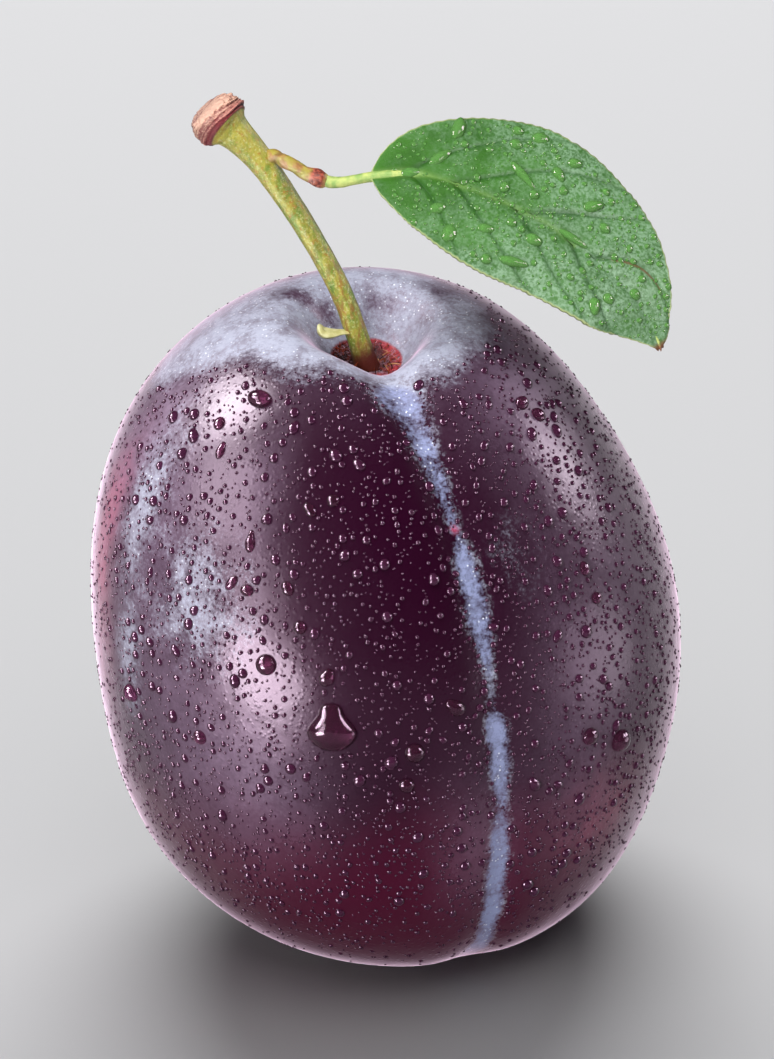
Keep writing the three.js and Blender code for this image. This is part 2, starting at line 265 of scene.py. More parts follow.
def smooth_line(points, steps=30):
    """Close points on a centripetal Catmull-Rom curve through the given ones."""
    given = np.array(points, float)
    ends = np.vstack([2 * given[0] - given[1], given, 2 * given[-1] - given[-2]])
    line = []
    for a, b, c, d in zip(ends, ends[1:], ends[2:], ends[3:]):
        ab, bc, cd = (math.sqrt(np.linalg.norm(q - p)) for p, q in ((a, b), (b, c), (c, d)))
        start = ((b - a) / ab - (c - a) / (ab + bc) + (c - b) / bc) * bc
        end = ((c - b) / bc - (d - b) / (bc + cd) + (d - c) / cd) * bc
        for t in np.arange(steps) / steps:
            cubic = (2 * b - 2 * c + start + end) * t**3 + (3 * c - 3 * b - 2 * start - end) * t**2
            line.append(b + start * t + cubic)
    return np.array([*line, given[-1]])


def along_line(line, shares):
    """Points at shares of the length of a line of close points."""
    walked = np.concatenate([[0], np.cumsum(np.linalg.norm(np.diff(line, axis=0), axis=1))])
    ways = shares * walked[-1]
    return np.stack([np.interp(ways, walked, line[:, axis]) for axis in range(3)], -1)


# ---------- making finishes ----------


class Finish:
    """A material under way, with short calls that add nodes. Sizes are in millimetres."""

    def __init__(self, name):
        self.material = bpy.data.materials.new(name)
        self.material.use_nodes = True
        self.tree = self.material.node_tree
        self.shader = self.tree.nodes["Principled BSDF"]

    def feed(self, socket, value):
        """Wires a socket to another node, or sets its plain value."""
        if isinstance(value, bpy.types.NodeSocket):
            self.tree.links.new(value, socket)
        else:
            socket.default_value = value

    def surface(self, **values):
        """Feeds the shader's sockets: base_color is Base Color, and so on."""
        for name, value in values.items():
            socket = name.replace("_", " ").title().replace("Ior", "IOR")
            self.feed(self.shader.inputs[socket], value)
        return self.material

    def place(self):
        """The place on the piece, in metres."""
        return self.tree.nodes.new("ShaderNodeTexCoord").outputs["Object"]

    def read(self, name):
        """A number kept on the piece's points."""
        node = self.tree.nodes.new("ShaderNodeAttribute")
        node.attribute_name = name
        return node.outputs["Fac"]

    def clouds(self, size, detail=3.0, roughness=0.55, stretch=(1, 1, 1)):
        """Noise with lumps about size across, drawn out where stretch is small."""
        spread = self.tree.nodes.new("ShaderNodeMapping")
        self.feed(spread.inputs["Vector"], self.place())
        spread.inputs["Scale"].default_value = stretch
        node = self.tree.nodes.new("ShaderNodeTexNoise")
        self.feed(node.inputs["Vector"], spread.outputs[0])
        node.inputs["Scale"].default_value = 1 / (size * MM)
        node.inputs["Detail"].default_value = detail
        node.inputs["Roughness"].default_value = roughness
        return node.outputs["Fac"]

    def cells(self, size):
        """The distance from the middle of scattered cells about size across."""
        node = self.tree.nodes.new("ShaderNodeTexVoronoi")
        self.feed(node.inputs["Vector"], self.place())
        node.inputs["Scale"].default_value = 1 / (size * MM)
        return node.outputs["Distance"]

    def reckon(self, operation, a, b):
        """One step of arithmetic."""
        node = self.tree.nodes.new("ShaderNodeMath")
        node.operation = operation
        for socket, value in zip(node.inputs, (a, b)):
            self.feed(socket, value)
        return node.outputs[0]

    def plus(self, a, b):
        """Two values added."""
        return self.reckon("ADD", a, b)

    def less(self, a, b):
        """The first value without the second."""
        return self.reckon("SUBTRACT", a, b)

    def times(self, a, b):
        """Two values multiplied."""
        return self.reckon("MULTIPLY", a, b)

    def greater(self, a, b):
        """The greater of two values."""
        return self.reckon("MAXIMUM", a, b)

    def span(self, value, low, high, least=0.0, most=1.0):
        """least where the value is under low, most where it is over high, and smooth between."""
        node = self.tree.nodes.new("ShaderNodeMapRange")
        node.interpolation_type = "SMOOTHSTEP"
        for socket, given in zip(node.inputs, (value, low, high, least, most)):
            self.feed(socket, given)
        return node.outputs[0]

    def mix(self, amount, a, b):
        """A colour between two."""
        node = self.tree.nodes.new("ShaderNodeMix")
        node.data_type = "RGBA"
        for index, value in ((0, amount), (6, a), (7, b)):
            self.feed(node.inputs[index], value)
        return node.outputs[2]

    def relief(self, height, depth, below=None):
        """The surface tilted as if height, from 0 to 1, stood out by depth."""
        node = self.tree.nodes.new("ShaderNodeBump")
        node.inputs["Distance"].default_value = depth * MM
        self.feed(node.inputs["Height"], height)
        if below:
            self.feed(node.inputs["Normal"], below)
        return node.outputs[0]


# ---------- fruit ----------

FRUIT_COLUMNS = 272
FRUIT_RINGS = 200
CROWN_CROWDING = 0.35  # how far the rings crowd towards the crown, and the columns towards the seam
SEAM_CROWDING = 0.55
RADIUS = 20.85  # half the greatest width
CROWN = 27  # greatest width up to where the shoulders would meet without the cavity
BASE = 23.2  # greatest width down to the tip
MIDDLE = 23  # height of the greatest width
CROWN_FULLNESS = 0.97
BASE_FULLNESS = 0.66
SKEW = 0.029  # how far it leans: fuller at -X above the widest level and at +X below, as a share
SWELL = 0.015  # how far the cheek at -X swells, as a share
SEAM_TURN = math.radians(22)
SEAM_SWING = math.radians(9)
SWING_FROM = 0.45  # polar angle above which the seam has swung all the way
SWING_FADE = 0.35
# How deep and how broad the seam's groove is, and what it gains at its mouth in the stalk cavity.
GROOVE_DEPTH, GROOVE_REACH = 0.42, 1.5
MOUTH_DEPTH, MOUTH_REACH = 1.05, 1.1
MOUTH_LENGTH = 0.55
# The broad hollow between the two lobes.
HOLLOW_DEPTH, HOLLOW_REACH = 0.4, 6.5
# The stalk cavity: a wide dish, deeper on the seam's side, a steep well, and the scar's low ridge.
DISH_DEPTH, DISH_REACH, DISH_TILT = 2.3, 6.4, 0.12
WELL_DEPTH, WELL_REACH, WELL_EDGE = 3.9, 4, 3.5
SCAR_RADIUS, SCAR_HEIGHT, SCAR_REACH = 1.5, 0.3, 0.7
SCAR_LUMPS = 0.16
# The bloom on the seam as polar angle, strength and half-width: it thins, breaks and gathers again.
SEAM_BLOOM = np.array(
    [
        (0.30, 0.95, 2.4),
        (0.49, 0.85, 1.65),
        (0.65, 0.65, 1.05),
        (0.82, 0.6, 0.75),
        (0.94, 0.42, 0.55),
        (1.0, 0.55, 0.8),
        (1.08, 0.8, 0.95),
        (1.21, 0.95, 0.9),
        (1.34, 0.42, 0.5),
        (1.38, 0.25, 0.5),
        (1.45, 0.35, 0.6),
        (1.5, 1.25, 0.75),
        (1.62, 1.25, 0.75),
        (1.72, 0.75, 0.6),
        (1.79, 0.45, 0.8),
        (1.86, 0.85, 0.65),
        (1.98, 1.25, 0.8),
        (2.15, 1.25, 0.7),
        (2.35, 1.2, 0.6),
        (2.6, 1.1, 0.7),
        (2.85, 0.2, 0.5),
    ]
)
# The bloom round the stalk cavity: turn in degrees, the polar angle that it ends at, and strength.
CROWN_BLOOM = np.array(
    [
        (-180, 0.42, 1.0),
        (-150, 0.4, 1.0),
        (-138, 0.43, 0.95),
        (-124, 0.56, 0.9),
        (-110, 0.74, 0.85),
        (-93, 0.81, 0.95),
        (-79, 0.65, 1.05),
        (-60, 0.45, 1.15),
        (-38, 0.43, 1.0),
        (-19, 0.4, 0.9),
        (0, 0.39, 1.0),
        (17, 0.42, 1.15),
        (39, 0.44, 1.2),
        (58, 0.42, 1.2),
        (75, 0.47, 0.95),
        (110, 0.45, 0.8),
        (150, 0.42, 1.0),
        (180, 0.42, 1.0),
    ]
)
# Other patches of bloom: polar angle, turn in degrees, reach down, reach round in degrees and
# strength.
BLOOM_PATCHES = [
    (0.95, -63, 0.26, 7, 0.85),
    (1.14, -38, 0.16, 9, 0.55),
    (1.2, -45, 0.13, 9, 0.45),
    (1.42, -60, 0.14, 4, 0.65),
    (1.05, 33, 0.16, 9, 0.14),
    (0.32, 50, 0.12, 25, 0.5),
    (0.75, 170, 0.3, 30, 0.6),
    (1.1, 128, 0.35, 10, 0.45),
    (1.4, -150, 0.3, 12, 0.45),
    (0.9, -125, 0.25, 12, 0.5),
]
# Where the bloom round the cavity is rubbed away, in the same terms.
WORN = [
    (0.26, -121, 0.04, 7, 0.5),
    (0.21, -127, 0.035, 8, 0.5),
    (0.17, -140, 0.03, 10, 0.45),
    (0.29, -67, 0.04, 7, 0.4),
    (0.22, -76, 0.035, 10, 0.4),
    (0.28, 158, 0.03, 16, 0.35),
    (0.31, 128, 0.035, 12, 0.35),
    (0.17, 165, 0.04, 22, 0.35),
]
# An even, thin film of wax, in the same terms; some of its patches are a painted highlight that
# draws the lamps' glints out into a broad mauve haze.
FILMS_AND_PAINTED_HIGHLIGHTS = [
    (1.2, -56, 0.42, 20, 0.3),
    (0.8, -75, 0.3, 20, 0.5),
    (1.6, -42, 0.3, 14, 0.2),
    (1.66, -26, 0.25, 12, 0.24),
    (1.68, 41, 0.42, 11, 0.2),
    (1.92, 17, 0.26, 8, 0.22),
    (0.8, -31, 0.25, 8, 0.12),
    (0.12, -90, 0.26, 110, 0.35),
    (0.12, 90, 0.26, 110, 0.35),
    (0.62, 80, 0.22, 34, 0.5),
    (1.1, 62, 0.5, 22, 0.2),
    (1.2, 150, 0.6, 50, 0.15),
    (1.3, -130, 0.6, 30, 0.15),
]
# Where the skin is red, in the same terms: down one cheek, towards the foot on one side and at the
# back, and a small mark on the seam.
BLUSHES = [
    (1.12, -78, 0.28, 8, 1.5),
    (1.45, -74, 0.3, 8, 0.6),
    (1.95, 46, 0.25, 14, 0.7),
    (1.9, 160, 0.4, 14, 0.6),
    (0.936, 19.8, 0.014, 1.3, 1.6),
]
# White of the painted glints of fine dew on the bloom.
PAINTED_DEW_GLINTS = (0.6, 0.62, 0.68, 1)
CORK_PIT = (0.014, 0.003, 0.002, 1)
CORK_RIDGE = (0.1, 0.012, 0.007, 1)
MAUVE_GLOSS = (1.0, 0.7, 0.96, 1)
MAUVE_SHEEN = (1.0, 0.72, 0.92, 1)


def seam_turn(polar):
    """The turn of the seam: straight down the fruit, swinging frontwards at the top."""
    return SEAM_TURN - SEAM_SWING * np.exp(-np.maximum(0, polar - SWING_FROM) / SWING_FADE)


def across_seam(polar, turn):
    """The distance round the fruit from the seam."""
    off = turn - seam_turn(polar)
    return RADIUS * np.sin(polar) * np.arctan2(np.sin(off), np.cos(off))


def plump_body(polar, turn):
    """The plump body before the cavity and the seam are pressed into it."""
    above = np.cos(polar) > 0
    level = np.maximum(np.sin(polar), 0)
    out = level ** np.where(above, CROWN_FULLNESS, BASE_FULLNESS)
    uneven = SKEW * np.sin(2 * polar) + SWELL * level * np.cos(5 * (polar - 0.92))
    full = 1 - uneven * np.sin(turn)
    radius = RADIUS * out * full
    height = np.where(above, CROWN, BASE) * np.cos(polar) * full
    return np.stack([radius * np.sin(turn), -radius * np.cos(turn), MIDDLE + height], -1)


def seam_depth(polar, turn):
    """How deep the seam and the broad hollow between the two lobes are pressed in."""
    distance = across_seam(polar, turn)
    mouth = np.exp(-((polar / MOUTH_LENGTH) ** 2))
    groove = GROOVE_DEPTH + MOUTH_DEPTH * mouth
    groove = groove * hump(distance, 0, GROOVE_REACH + MOUTH_REACH * mouth)
    hollow = HOLLOW_DEPTH * hump(distance, 0, HOLLOW_REACH)
    from_tip = math.pi - polar
    ends = smoothstep(polar, 0.06, 0.24) * smoothstep(from_tip, 0.15, 0.55)
    return (groove + hollow * smoothstep(from_tip, 0.4, 1.1)) * ends


def cavity_depth(x, y):
    """How deep the stalk cavity is at a point of the crown, seen from above."""
    distance = np.hypot(x, y)
    turn = np.arctan2(x, -y)
    well = WELL_DEPTH * np.exp(-((distance / WELL_REACH) ** WELL_EDGE))
    tilt = DISH_TILT * distance * np.cos(turn - SEAM_TURN)
    lobes = 0.7 + 0.3 * np.sin(5 * turn)
    scar = SCAR_HEIGHT * hump(distance, SCAR_RADIUS, SCAR_REACH) * lobes
    return (DISH_DEPTH + tilt) * hump(distance, 0, DISH_REACH) + well - scar


def skin(polar, turn):
    """Points of the finished skin."""
    step = 1e-3
    at = plump_body(polar, turn)
    down = plump_body(polar + step, turn) - at
    round_it = plump_body(polar, turn + step) - at
    outward = unit(np.cross(down, round_it))
    at = at - outward * seam_depth(polar, turn)[..., None]
    at[..., 2] -= np.where(polar < math.pi / 2, cavity_depth(at[..., 0], at[..., 1]), 0)
    return at


def skin_normal(polar, turn):
    """The skin's outward normals."""
    step = 4e-3
    down = skin(polar + step, turn) - skin(polar - step, turn)
    round_it = skin(polar, turn + step) - skin(polar, turn - step)
    return unit(np.cross(down, round_it))


def patches(polar, turn, given):
    """The strength of soft patches on the skin, added up."""
    total = np.zeros_like(polar)
    for middle, round_to, down, wide, strength in given:
        off = turn - math.radians(round_to)
        off = np.arctan2(np.sin(off), np.cos(off))
        total += strength * hump(polar, middle, down) * hump(off, 0, math.radians(wide))
    return total


def crown_bloom(polar, turn):
    """The strength of the bloom round the stalk cavity."""
    degrees = np.degrees(np.arctan2(np.sin(turn), np.cos(turn)))
    edge = np.interp(degrees, CROWN_BLOOM[:, 0], CROWN_BLOOM[:, 1])
    strength = np.interp(degrees, CROWN_BLOOM[:, 0], CROWN_BLOOM[:, 2])
    return strength * (1 - smoothstep(polar, edge - 0.13, edge + 0.1))


def seam_bloom(polar, turn):
    """The strength of the bloom along the seam."""
    strength = np.interp(polar, SEAM_BLOOM[:, 0], SEAM_BLOOM[:, 1])
    width = np.interp(polar, SEAM_BLOOM[:, 0], SEAM_BLOOM[:, 2])
    return strength * np.exp(-np.abs(across_seam(polar, turn) / width) ** 2.4)


def skin_finish(settings):
    """Purple skin going wine red, a blue-white wax bloom with painted glints of dew, a film that is
    partly wax and partly painted highlight, and the torn red ring at the stalk.
    """
    f = Finish("plum_skin")
    drift = f.clouds(7, detail=4)
    redness = f.plus(f.read("redness"), f.times(f.less(drift, 0.5), 0.7))
    base = f.mix(f.span(redness, 0.15, 1.0), settings.skin, settings.ripe)
    streaks = f.clouds(2.2, detail=4, stretch=(1, 1, 0.35))
    base = f.mix(f.span(f.times(f.read("blush"), streaks), 0.05, 0.9), base, settings.blush)

    # The bloom and the thin film, each worn away in clouds, and none of either on the scar; the
    # film is partly wax and partly painted highlight.
    lumps = f.less(f.clouds(2.4, detail=5), 0.5)
    grain = f.less(f.clouds(0.3, detail=4, roughness=0.75), 0.5)
    ragged = f.plus(f.times(lumps, 1.5), f.times(grain, 1.5))
    worn_edge = f.times(ragged, f.span(f.read("bloom"), 0, 0.15))
    veil = f.span(f.plus(f.read("bloom"), worn_edge), 0.1, 1.2)
    torn_edge = f.times(f.times(ragged, 1.4), f.span(f.read("seam_bloom"), 0, 0.15))
    line = f.span(f.plus(f.read("seam_bloom"), torn_edge), 0.05, 1.2)
    clear = f.span(f.read("scar"), 0.2, 0.7, settings.bloom_amount, 0)
    film_and_painted_highlight = f.times(f.read("film_and_painted_highlight"), f.span(f.plus(lumps, grain), -0.5, 0.4, 0.4, 1))
    film_and_painted_highlight = f.times(film_and_painted_highlight, clear)
    base = f.mix(film_and_painted_highlight, base, settings.film_and_painted_highlight)
    broken = f.span(f.clouds(1.1, detail=5, roughness=0.72), 0.32, 0.58, 0.55, 1.05)
    wax = f.times(f.times(f.greater(veil, line), broken), clear)
    tone = f.span(f.less(f.read("seam_bloom"), f.read("bloom")), 0.1, 0.5)
    tone = f.mix(tone, settings.bloom, settings.seam)
    base = f.mix(wax, base, tone)
    # Painted glints: white specks on the bloom that stand in for light caught by fine dew.
    painted_glints = f.times(f.span(f.cells(0.33), 0.25, 0.1), f.span(f.clouds(1.3, detail=3), 0.4, 0.6))
    base = f.mix(f.times(painted_glints, f.span(wax, 0.1, 0.6)), base, PAINTED_DEW_GLINTS)

    torn = f.clouds(0.35, detail=4, roughness=0.7)
    cork = f.mix(f.span(torn, 0.42, 0.62), CORK_PIT, CORK_RIDGE)
    cork = f.mix(f.times(f.read("flush"), f.span(torn, 0.35, 0.5)), cork, settings.scar)
    base = f.mix(f.span(f.read("scar"), 0.2, 0.6), base, cork)
    swell = f.relief(f.clouds(4.5, detail=2), 0.1)
    mist = f.greater(f.less(0.4, f.cells(0.42)), 0.0)
    wet = f.relief(mist, 0.03, swell)
    return f.surface(
        base_color=base,
        roughness=f.span(f.greater(wax, film_and_painted_highlight), 0.05, 0.8, 0.27, 0.75),
        specular_ior_level=0.27,
        specular_tint=MAUVE_GLOSS,
        normal=f.relief(f.times(torn, f.read("scar")), 0.25, wet),
        sheen_weight=1.0,
        sheen_roughness=0.25,
        sheen_tint=MAUVE_SHEEN,
    )


def make_fruit(settings):
    """The skin: a ball drawn to the plum's own outline, its columns crowding at the seam."""
    ball = add(
        bpy.ops.mesh.primitive_uv_sphere_add,
        segments=FRUIT_COLUMNS,
        ring_count=FRUIT_RINGS,
        radius=1,
    )
    at = corners(ball)
    down = np.arccos(np.clip(at[:, 2], -1, 1)) / math.pi
    even = np.arctan2(at[:, 0], -at[:, 1])
    polar = math.pi * down * (1 - CROWN_CROWDING * (1 - down))
    turn = seam_turn(polar) + even - SEAM_CROWDING * np.sin(even)
    points = skin(polar, turn)
    scar = 1 - smoothstep(np.hypot(points[:, 0], points[:, 1]), 2.1, 2.8)
    scar *= polar < 1
    lumps = np.where(scar > 0, rough(points, 0.55), 0)
    points[:, 2] += SCAR_LUMPS * scar * lumps
    reshape(ball, points)
    mark(ball, "scar", scar)
    off_centre = np.hypot(points[:, 0] + 0.5, points[:, 1] - 0.2)
    mark(ball, "flush", smoothstep(off_centre, 1.7, 2.6))
    crown = crown_bloom(polar, turn) - patches(polar, turn, WORN)
    mark(ball, "bloom", np.maximum(np.maximum(crown, 0), patches(polar, turn, BLOOM_PATCHES)))
    # The film: partly wax, partly painted highlight.
    mark(ball, "film_and_painted_highlight", patches(polar, turn, FILMS_AND_PAINTED_HIGHLIGHTS))
    mark(ball, "seam_bloom", seam_bloom(polar, turn))
    mark(ball, "blush", patches(polar, turn, BLUSHES))
    mark(ball, "redness", smoothstep(polar, 1.4, 2.1))
    bpy.ops.object.mode_set(mode="EDIT")
    bpy.ops.mesh.select_all(action="SELECT")
    cut_at_floor = {"plane_co": (0, 0, 0), "plane_no": (0, 0, 1)}
    bpy.ops.mesh.bisect(**cut_at_floor, use_fill=True, clear_inner=True, threshold=1e-7)
    bpy.ops.object.mode_set(mode="OBJECT")
    settle(ball, "fruit_skin", "skin", skin_finish(settings), "fruit")


# ---------- fibres of the scar ----------

FIBRES = 130
FIBRE_DARK = (0.02, 0.005, 0.003, 1)
FIBRE_ORANGE = (0.22, 0.035, 0.012, 1)
FIBRE_STRAW = (0.4, 0.2, 0.09, 1)
CROWN_BEND = 21.3  # distance out from the axis near the crown for each radian of polar angle


def fibre_finish():
    """Dry fibres, from near black through orange to straw."""
    f = Finish("torn_fibre")
    tone = f.read("tone")
    dark = f.mix(f.span(tone, 0.3, 0.55), FIBRE_DARK, FIBRE_ORANGE)
    base = f.mix(f.span(tone, 0.8, 0.95), dark, FIBRE_STRAW)
    return f.surface(base_color=base, roughness=0.8, specular_ior_level=0.1)


def thorn_mould():
    """A thin thorn that stands on its foot, with cuts across it so that it can bend."""
    thorn = add(bpy.ops.mesh.primitive_cone_add, vertices=5, radius1=0.5, radius2=0.12, depth=1)
    bpy.ops.object.mode_set(mode="EDIT")
    bpy.ops.mesh.select_all(action="DESELECT")
    bpy.ops.mesh.select_mode(type="EDGE")
    bpy.ops.object.mode_set(mode="OBJECT")
    for edge in thorn.data.edges:
        a, b = (thorn.data.vertices[i].co.z for i in edge.vertices)
        edge.select = abs(a - b) > 0.5
    bpy.ops.object.mode_set(mode="EDIT")
    bpy.ops.mesh.subdivide(number_cuts=4)
    bpy.ops.object.mode_set(mode="OBJECT")
    return thorn


def make_fibres(seed):
    """Short torn fibres that stand and lie round the stalk's foot, one thorn copied and bent."""
    thorn = thorn_mould()
    rng = np.random.default_rng(seed)
    shape = corners(thorn) + (0, 0, 0.5)
    bodies, tones = [], []
    for _ in range(FIBRES):
        round_to = rng.uniform(-math.pi, math.pi)
        out = rng.uniform(0.95, 2.15)
        polar = out / CROWN_BEND
        foot = skin(np.array(polar), np.array(round_to)) - (0, 0, 0.1)
        length = rng.uniform(0.5, 1.25)
        thick = rng.uniform(0.07, 0.17)
        lean = rng.uniform(0.25, 1.25)
        heading = round_to + rng.normal(0, 1.1)
        curl = rng.uniform(-1.4, 1.4)
        way = shape[:, 2] * length
        bent = lean + curl * shape[:, 2]
        sideways = way * np.sin(bent)
        rise = way * np.cos(bent) * 0.75
        side = np.array([math.cos(heading), math.sin(heading), 0])
        ahead = np.array([math.sin(heading), -math.cos(heading), 0])
        body = shape[:, :1] * thick * side + shape[:, 1:2] * thick * UPRIGHT
        bodies.append(foot + body + sideways[:, None] * ahead + rise[:, None] * UPRIGHT)
        tones += [rng.uniform(0, 1)] * len(shape)
    copy_out(thorn, bodies)
    mark(thorn, "tone", tones)
    settle(thorn, "scar_fibres", "skin", fibre_finish())


# ---------- dew ----------

# The larger drops on the seam side: polar angle, turn in degrees, width, length, height, slant and
# tail, which is how far a drop is drawn in towards its top.
FRONT_DROPS = [
    (1.447, -11, 3.75, 3.6, 1.15, 0, 0.55),
    (1.29, -24, 1.5, 1.5, 0.63, 0, 0),
    (1.31, -11.6, 1.2, 1.35, 0.5, -0.5, 0.3),
    (1.42, 13.2, 1.15, 1.6, 0.48, 0.8, 0.3),
    (1.53, 4.6, 1.4, 1.4, 0.59, 0, 0),
    (1.63, 2.7, 1.1, 1.1, 0.46, 0, 0),
    (1.69, 50, 1.7, 1.7, 0.71, 0, 0),
    (1.62, 41.7, 1.3, 1.3, 0.55, 0, 0),
    (1.51, -60, 1.5, 1.3, 0.63, 0, 0),
    (0.56, -41, 1.9, 1.3, 0.7, 0, 0),
    (0.66, 57, 1.2, 1.0, 0.5, 0, 0),
    (0.72, 60, 1.0, 1.2, 0.42, 0.7, 0),
    (0.97, -29.7, 0.8, 1.6, 0.34, 0, 0.5),
    (1.09, -32.8, 0.7, 1.3, 0.29, -0.6, 0),
    (1.1, -29, 1.0, 0.85, 0.42, 0, 0),
    (1.08, -20, 0.85, 1.1, 0.36, 0.5, 0),
    (1.18, -17, 0.95, 0.95, 0.4, 0, 0),
    (1.54, -39.5, 1.1, 1.1, 0.46, 0, 0),
    (0.86, -16.3, 0.75, 1.2, 0.32, 0.7, 0),
    (0.83, -10.6, 0.9, 0.9, 0.38, 0, 0),
    (1.17, 49, 0.85, 1.1, 0.36, 0, 0),
    (1.26, 49.6, 0.9, 0.9, 0.38, 0, 0),
    (0.68, -50, 0.85, 1.0, 0.36, 0, 0),
    (0.75, -45, 0.7, 1.3, 0.29, 0, 0.3),
]
BACK_DROPS = 60
GOLDEN_ANGLE = math.pi * (3 - math.sqrt(5))
DROP_HEIGHT = 0.42  # as a share of its width
# How wide fine drops and beads are: the least, and how much more they may be.
FINE_LEAST, FINE_SPREAD = 0.16, 0.32
BEAD_LEAST, BEAD_SPREAD = 0.48, 0.5
BEADS_ABOVE = 9
CLEAR_OF_SCAR = 2.9
CLEAR_OF_FLOOR = 1.2
MOST_BLOOM = 0.45  # thicker bloom sheds the dew
# Drops grow fewer and smaller where the skin turns away from this way and its opposite.
BROAD_WAY = np.array([0, -0.88, 0.47])
# Colour, clearness and roughness of the water in each size of drop; the colour is a painted
# see-through of the dark skin or the green blade under it.
LARGE_DROP_WATER = ((0.17, 0.045, 0.1), 0.9, 0.13)
BEAD_WATER = ((0.06, 0.014, 0.04), 0.5, 0.09)
FINE_WATER = ((0.05, 0.011, 0.033), 0.4, 0.13)
LEAF_WATER = ((0.15, 0.37, 0.09), 0.6, 0.06)
WATER_IOR = 1.42
WATER_GLOSS = (1, 0.66, 0.92, 1)


def scatter(count, salt):
    """A repeatable number from 0 to 1 for a count."""
    wave = math.sin(count * 12.9898 + salt * 78.233) * 43758.5453
    return wave - math.floor(wave)


def larger_drops():
    """The rows above with the turn as an angle, then a spiral of drops on the back."""
    rows = [(polar, math.radians(turn), *rest) for polar, turn, *rest in FRONT_DROPS]
    for i in range(BACK_DROPS):
        turn = i * GOLDEN_ANGLE
        polar = 0.55 + 0.52 * math.acos(1 - 2 * (i + 0.5) / BACK_DROPS)
        wide = 0.75 + 0.85 * scatter(i, 1) ** 2
        long = wide * (1 + 0.5 * scatter(i, 2))
        if math.cos(turn - math.radians(5)) < -0.25:
            rows.append((polar, turn, wide, long, DROP_HEIGHT * wide, 0, 0.25))
    return np.array(rows)


def drop_mould(sides, rings, sunk):
    """One drop to copy: half a ball, its flat underside sunk by a share of its height."""
    ball = add(bpy.ops.mesh.primitive_uv_sphere_add, segments=sides, ring_count=rings, radius=1)
    bpy.ops.object.mode_set(mode="EDIT")
    bpy.ops.mesh.select_all(action="SELECT")
    bpy.ops.mesh.bisect(plane_co=(0, 0, -sunk), plane_no=(0, 0, 1), use_fill=True, clear_inner=True)
    bpy.ops.object.mode_set(mode="OBJECT")
    return ball


def lay_drops(mould, at, normal, uphill, wide, long, tall, slant, tail):
    """Turns the mould into its copies, each set on the surface and drawn in towards its tail."""
    up = unit(uphill - (uphill * normal).sum(-1, keepdims=True) * normal)
    side = np.cross(up, normal)
    up, side = (
        up * np.cos(slant)[:, None] - side * np.sin(slant)[:, None],
        side * np.cos(slant)[:, None] + up * np.sin(slant)[:, None],
    )
    x, y, z = corners(mould).T
    blunt = 1 + 2.2 * tail[:, None] * np.maximum(y, 0) ** 4
    narrow = blunt * (1 - tail[:, None] * smoothstep(y, -0.35, 0.8))
    low = 1 - 0.45 * tail[:, None] * np.maximum(y, 0)
    bodies = (
        at[:, None]
        + side[:, None] * (x * narrow * wide[:, None] / 2)[..., None]
        + up[:, None] * (y * long[:, None] / 2)[..., None]
        + normal[:, None] * (z * tall[:, None] * low)[..., None]
    )
    copy_out(mould, bodies)
    return mould


def water_finish(name, painted_see_through, clearness, roughness):
    """Water, its colour a painted see-through of what it lies on."""
    f = Finish(name)
    return f.surface(
        base_color=(*painted_see_through, 1),
        roughness=roughness,
        ior=WATER_IOR,
        specular_tint=WATER_GLOSS,
        transmission_weight=clearness,
    )


def keep_apart(at, reach, taken_at, taken_reach, gap):
    """Which places, in order, stay clear of the taken ones and of each other.

    gap is the least distance between two, as a share of their reaches added.
    """
    kept_at = np.vstack([taken_at, np.zeros_like(at)])
    kept_reach = np.concatenate([taken_reach, np.zeros(len(at))])
    held = len(taken_at)
    kept = []
    for i, (point, own) in enumerate(zip(at, reach)):
        apart = np.linalg.norm(kept_at[:held] - point, axis=1)
        if (apart > gap * (kept_reach[:held] + own)).all():
            kept_at[held] = point
            kept_reach[held] = own
            held += 1
            kept.append(i)
    return np.array(kept)


def scattered_drops(settings):
    """Rows for beads and fine drops strewn over the skin, thinner at the foot and the cavity."""
    rng = np.random.default_rng(settings.seed)
    count = settings.beads + settings.fine
    polar = np.arccos(1 - 2 * rng.uniform(0.004, 0.985, count))
    turn = rng.uniform(-math.pi, math.pi, count)
    wide = FINE_LEAST + FINE_SPREAD * rng.uniform(0, 1, count) ** 2.2
    beads = rng.uniform(0, 1, settings.beads)
    wide[: settings.beads] = BEAD_LEAST + BEAD_SPREAD * beads**2.6
    long = wide * (1 + 0.35 * rng.uniform(0, 1, count) ** 2)
    slant = rng.normal(0, 0.5, count)
    tail = 0.45 * rng.uniform(0, 1, count) ** 3
    at = skin(polar, turn)
    chance = rng.uniform(0, 1, count)
    broadside = np.abs(skin_normal(polar, turn) @ BROAD_WAY)
    likely = 0.25 + 0.75 * smoothstep(at[:, 2], 3, 15)
    likely = likely * (0.35 + 0.65 * smoothstep(broadside, 0.1, 0.5))
    wanted = (chance < likely) & (at[:, 2] > CLEAR_OF_FLOOR)
    wanted &= np.hypot(at[:, 0], at[:, 1]) > CLEAR_OF_SCAR
    wanted &= wide < 0.23 + smoothstep(broadside, 0.1, 0.85)
    wanted &= (wide < BEAD_LEAST) | (at[:, 2] > BEADS_ABOVE)
    wanted &= np.maximum(crown_bloom(polar, turn), seam_bloom(polar, turn)) < MOST_BLOOM
    rows = np.stack([polar, turn, wide, long, DROP_HEIGHT * wide, slant, tail], -1)[wanted]
    taken = larger_drops()
    places = skin(taken[:, 0], taken[:, 1])
    kept = keep_apart(at[wanted], rows[:, 2] / 2, places, taken[:, 3] / 2, 1.05)
    return rows[kept]


def lay_on_skin(mould, rows):
    """Lays rows of drops on the skin."""
    polar, turn, *sizes = rows.T
    uphill = np.tile(UPRIGHT, (len(rows), 1))
    return lay_drops(mould, skin(polar, turn), skin_normal(polar, turn), uphill, *sizes)


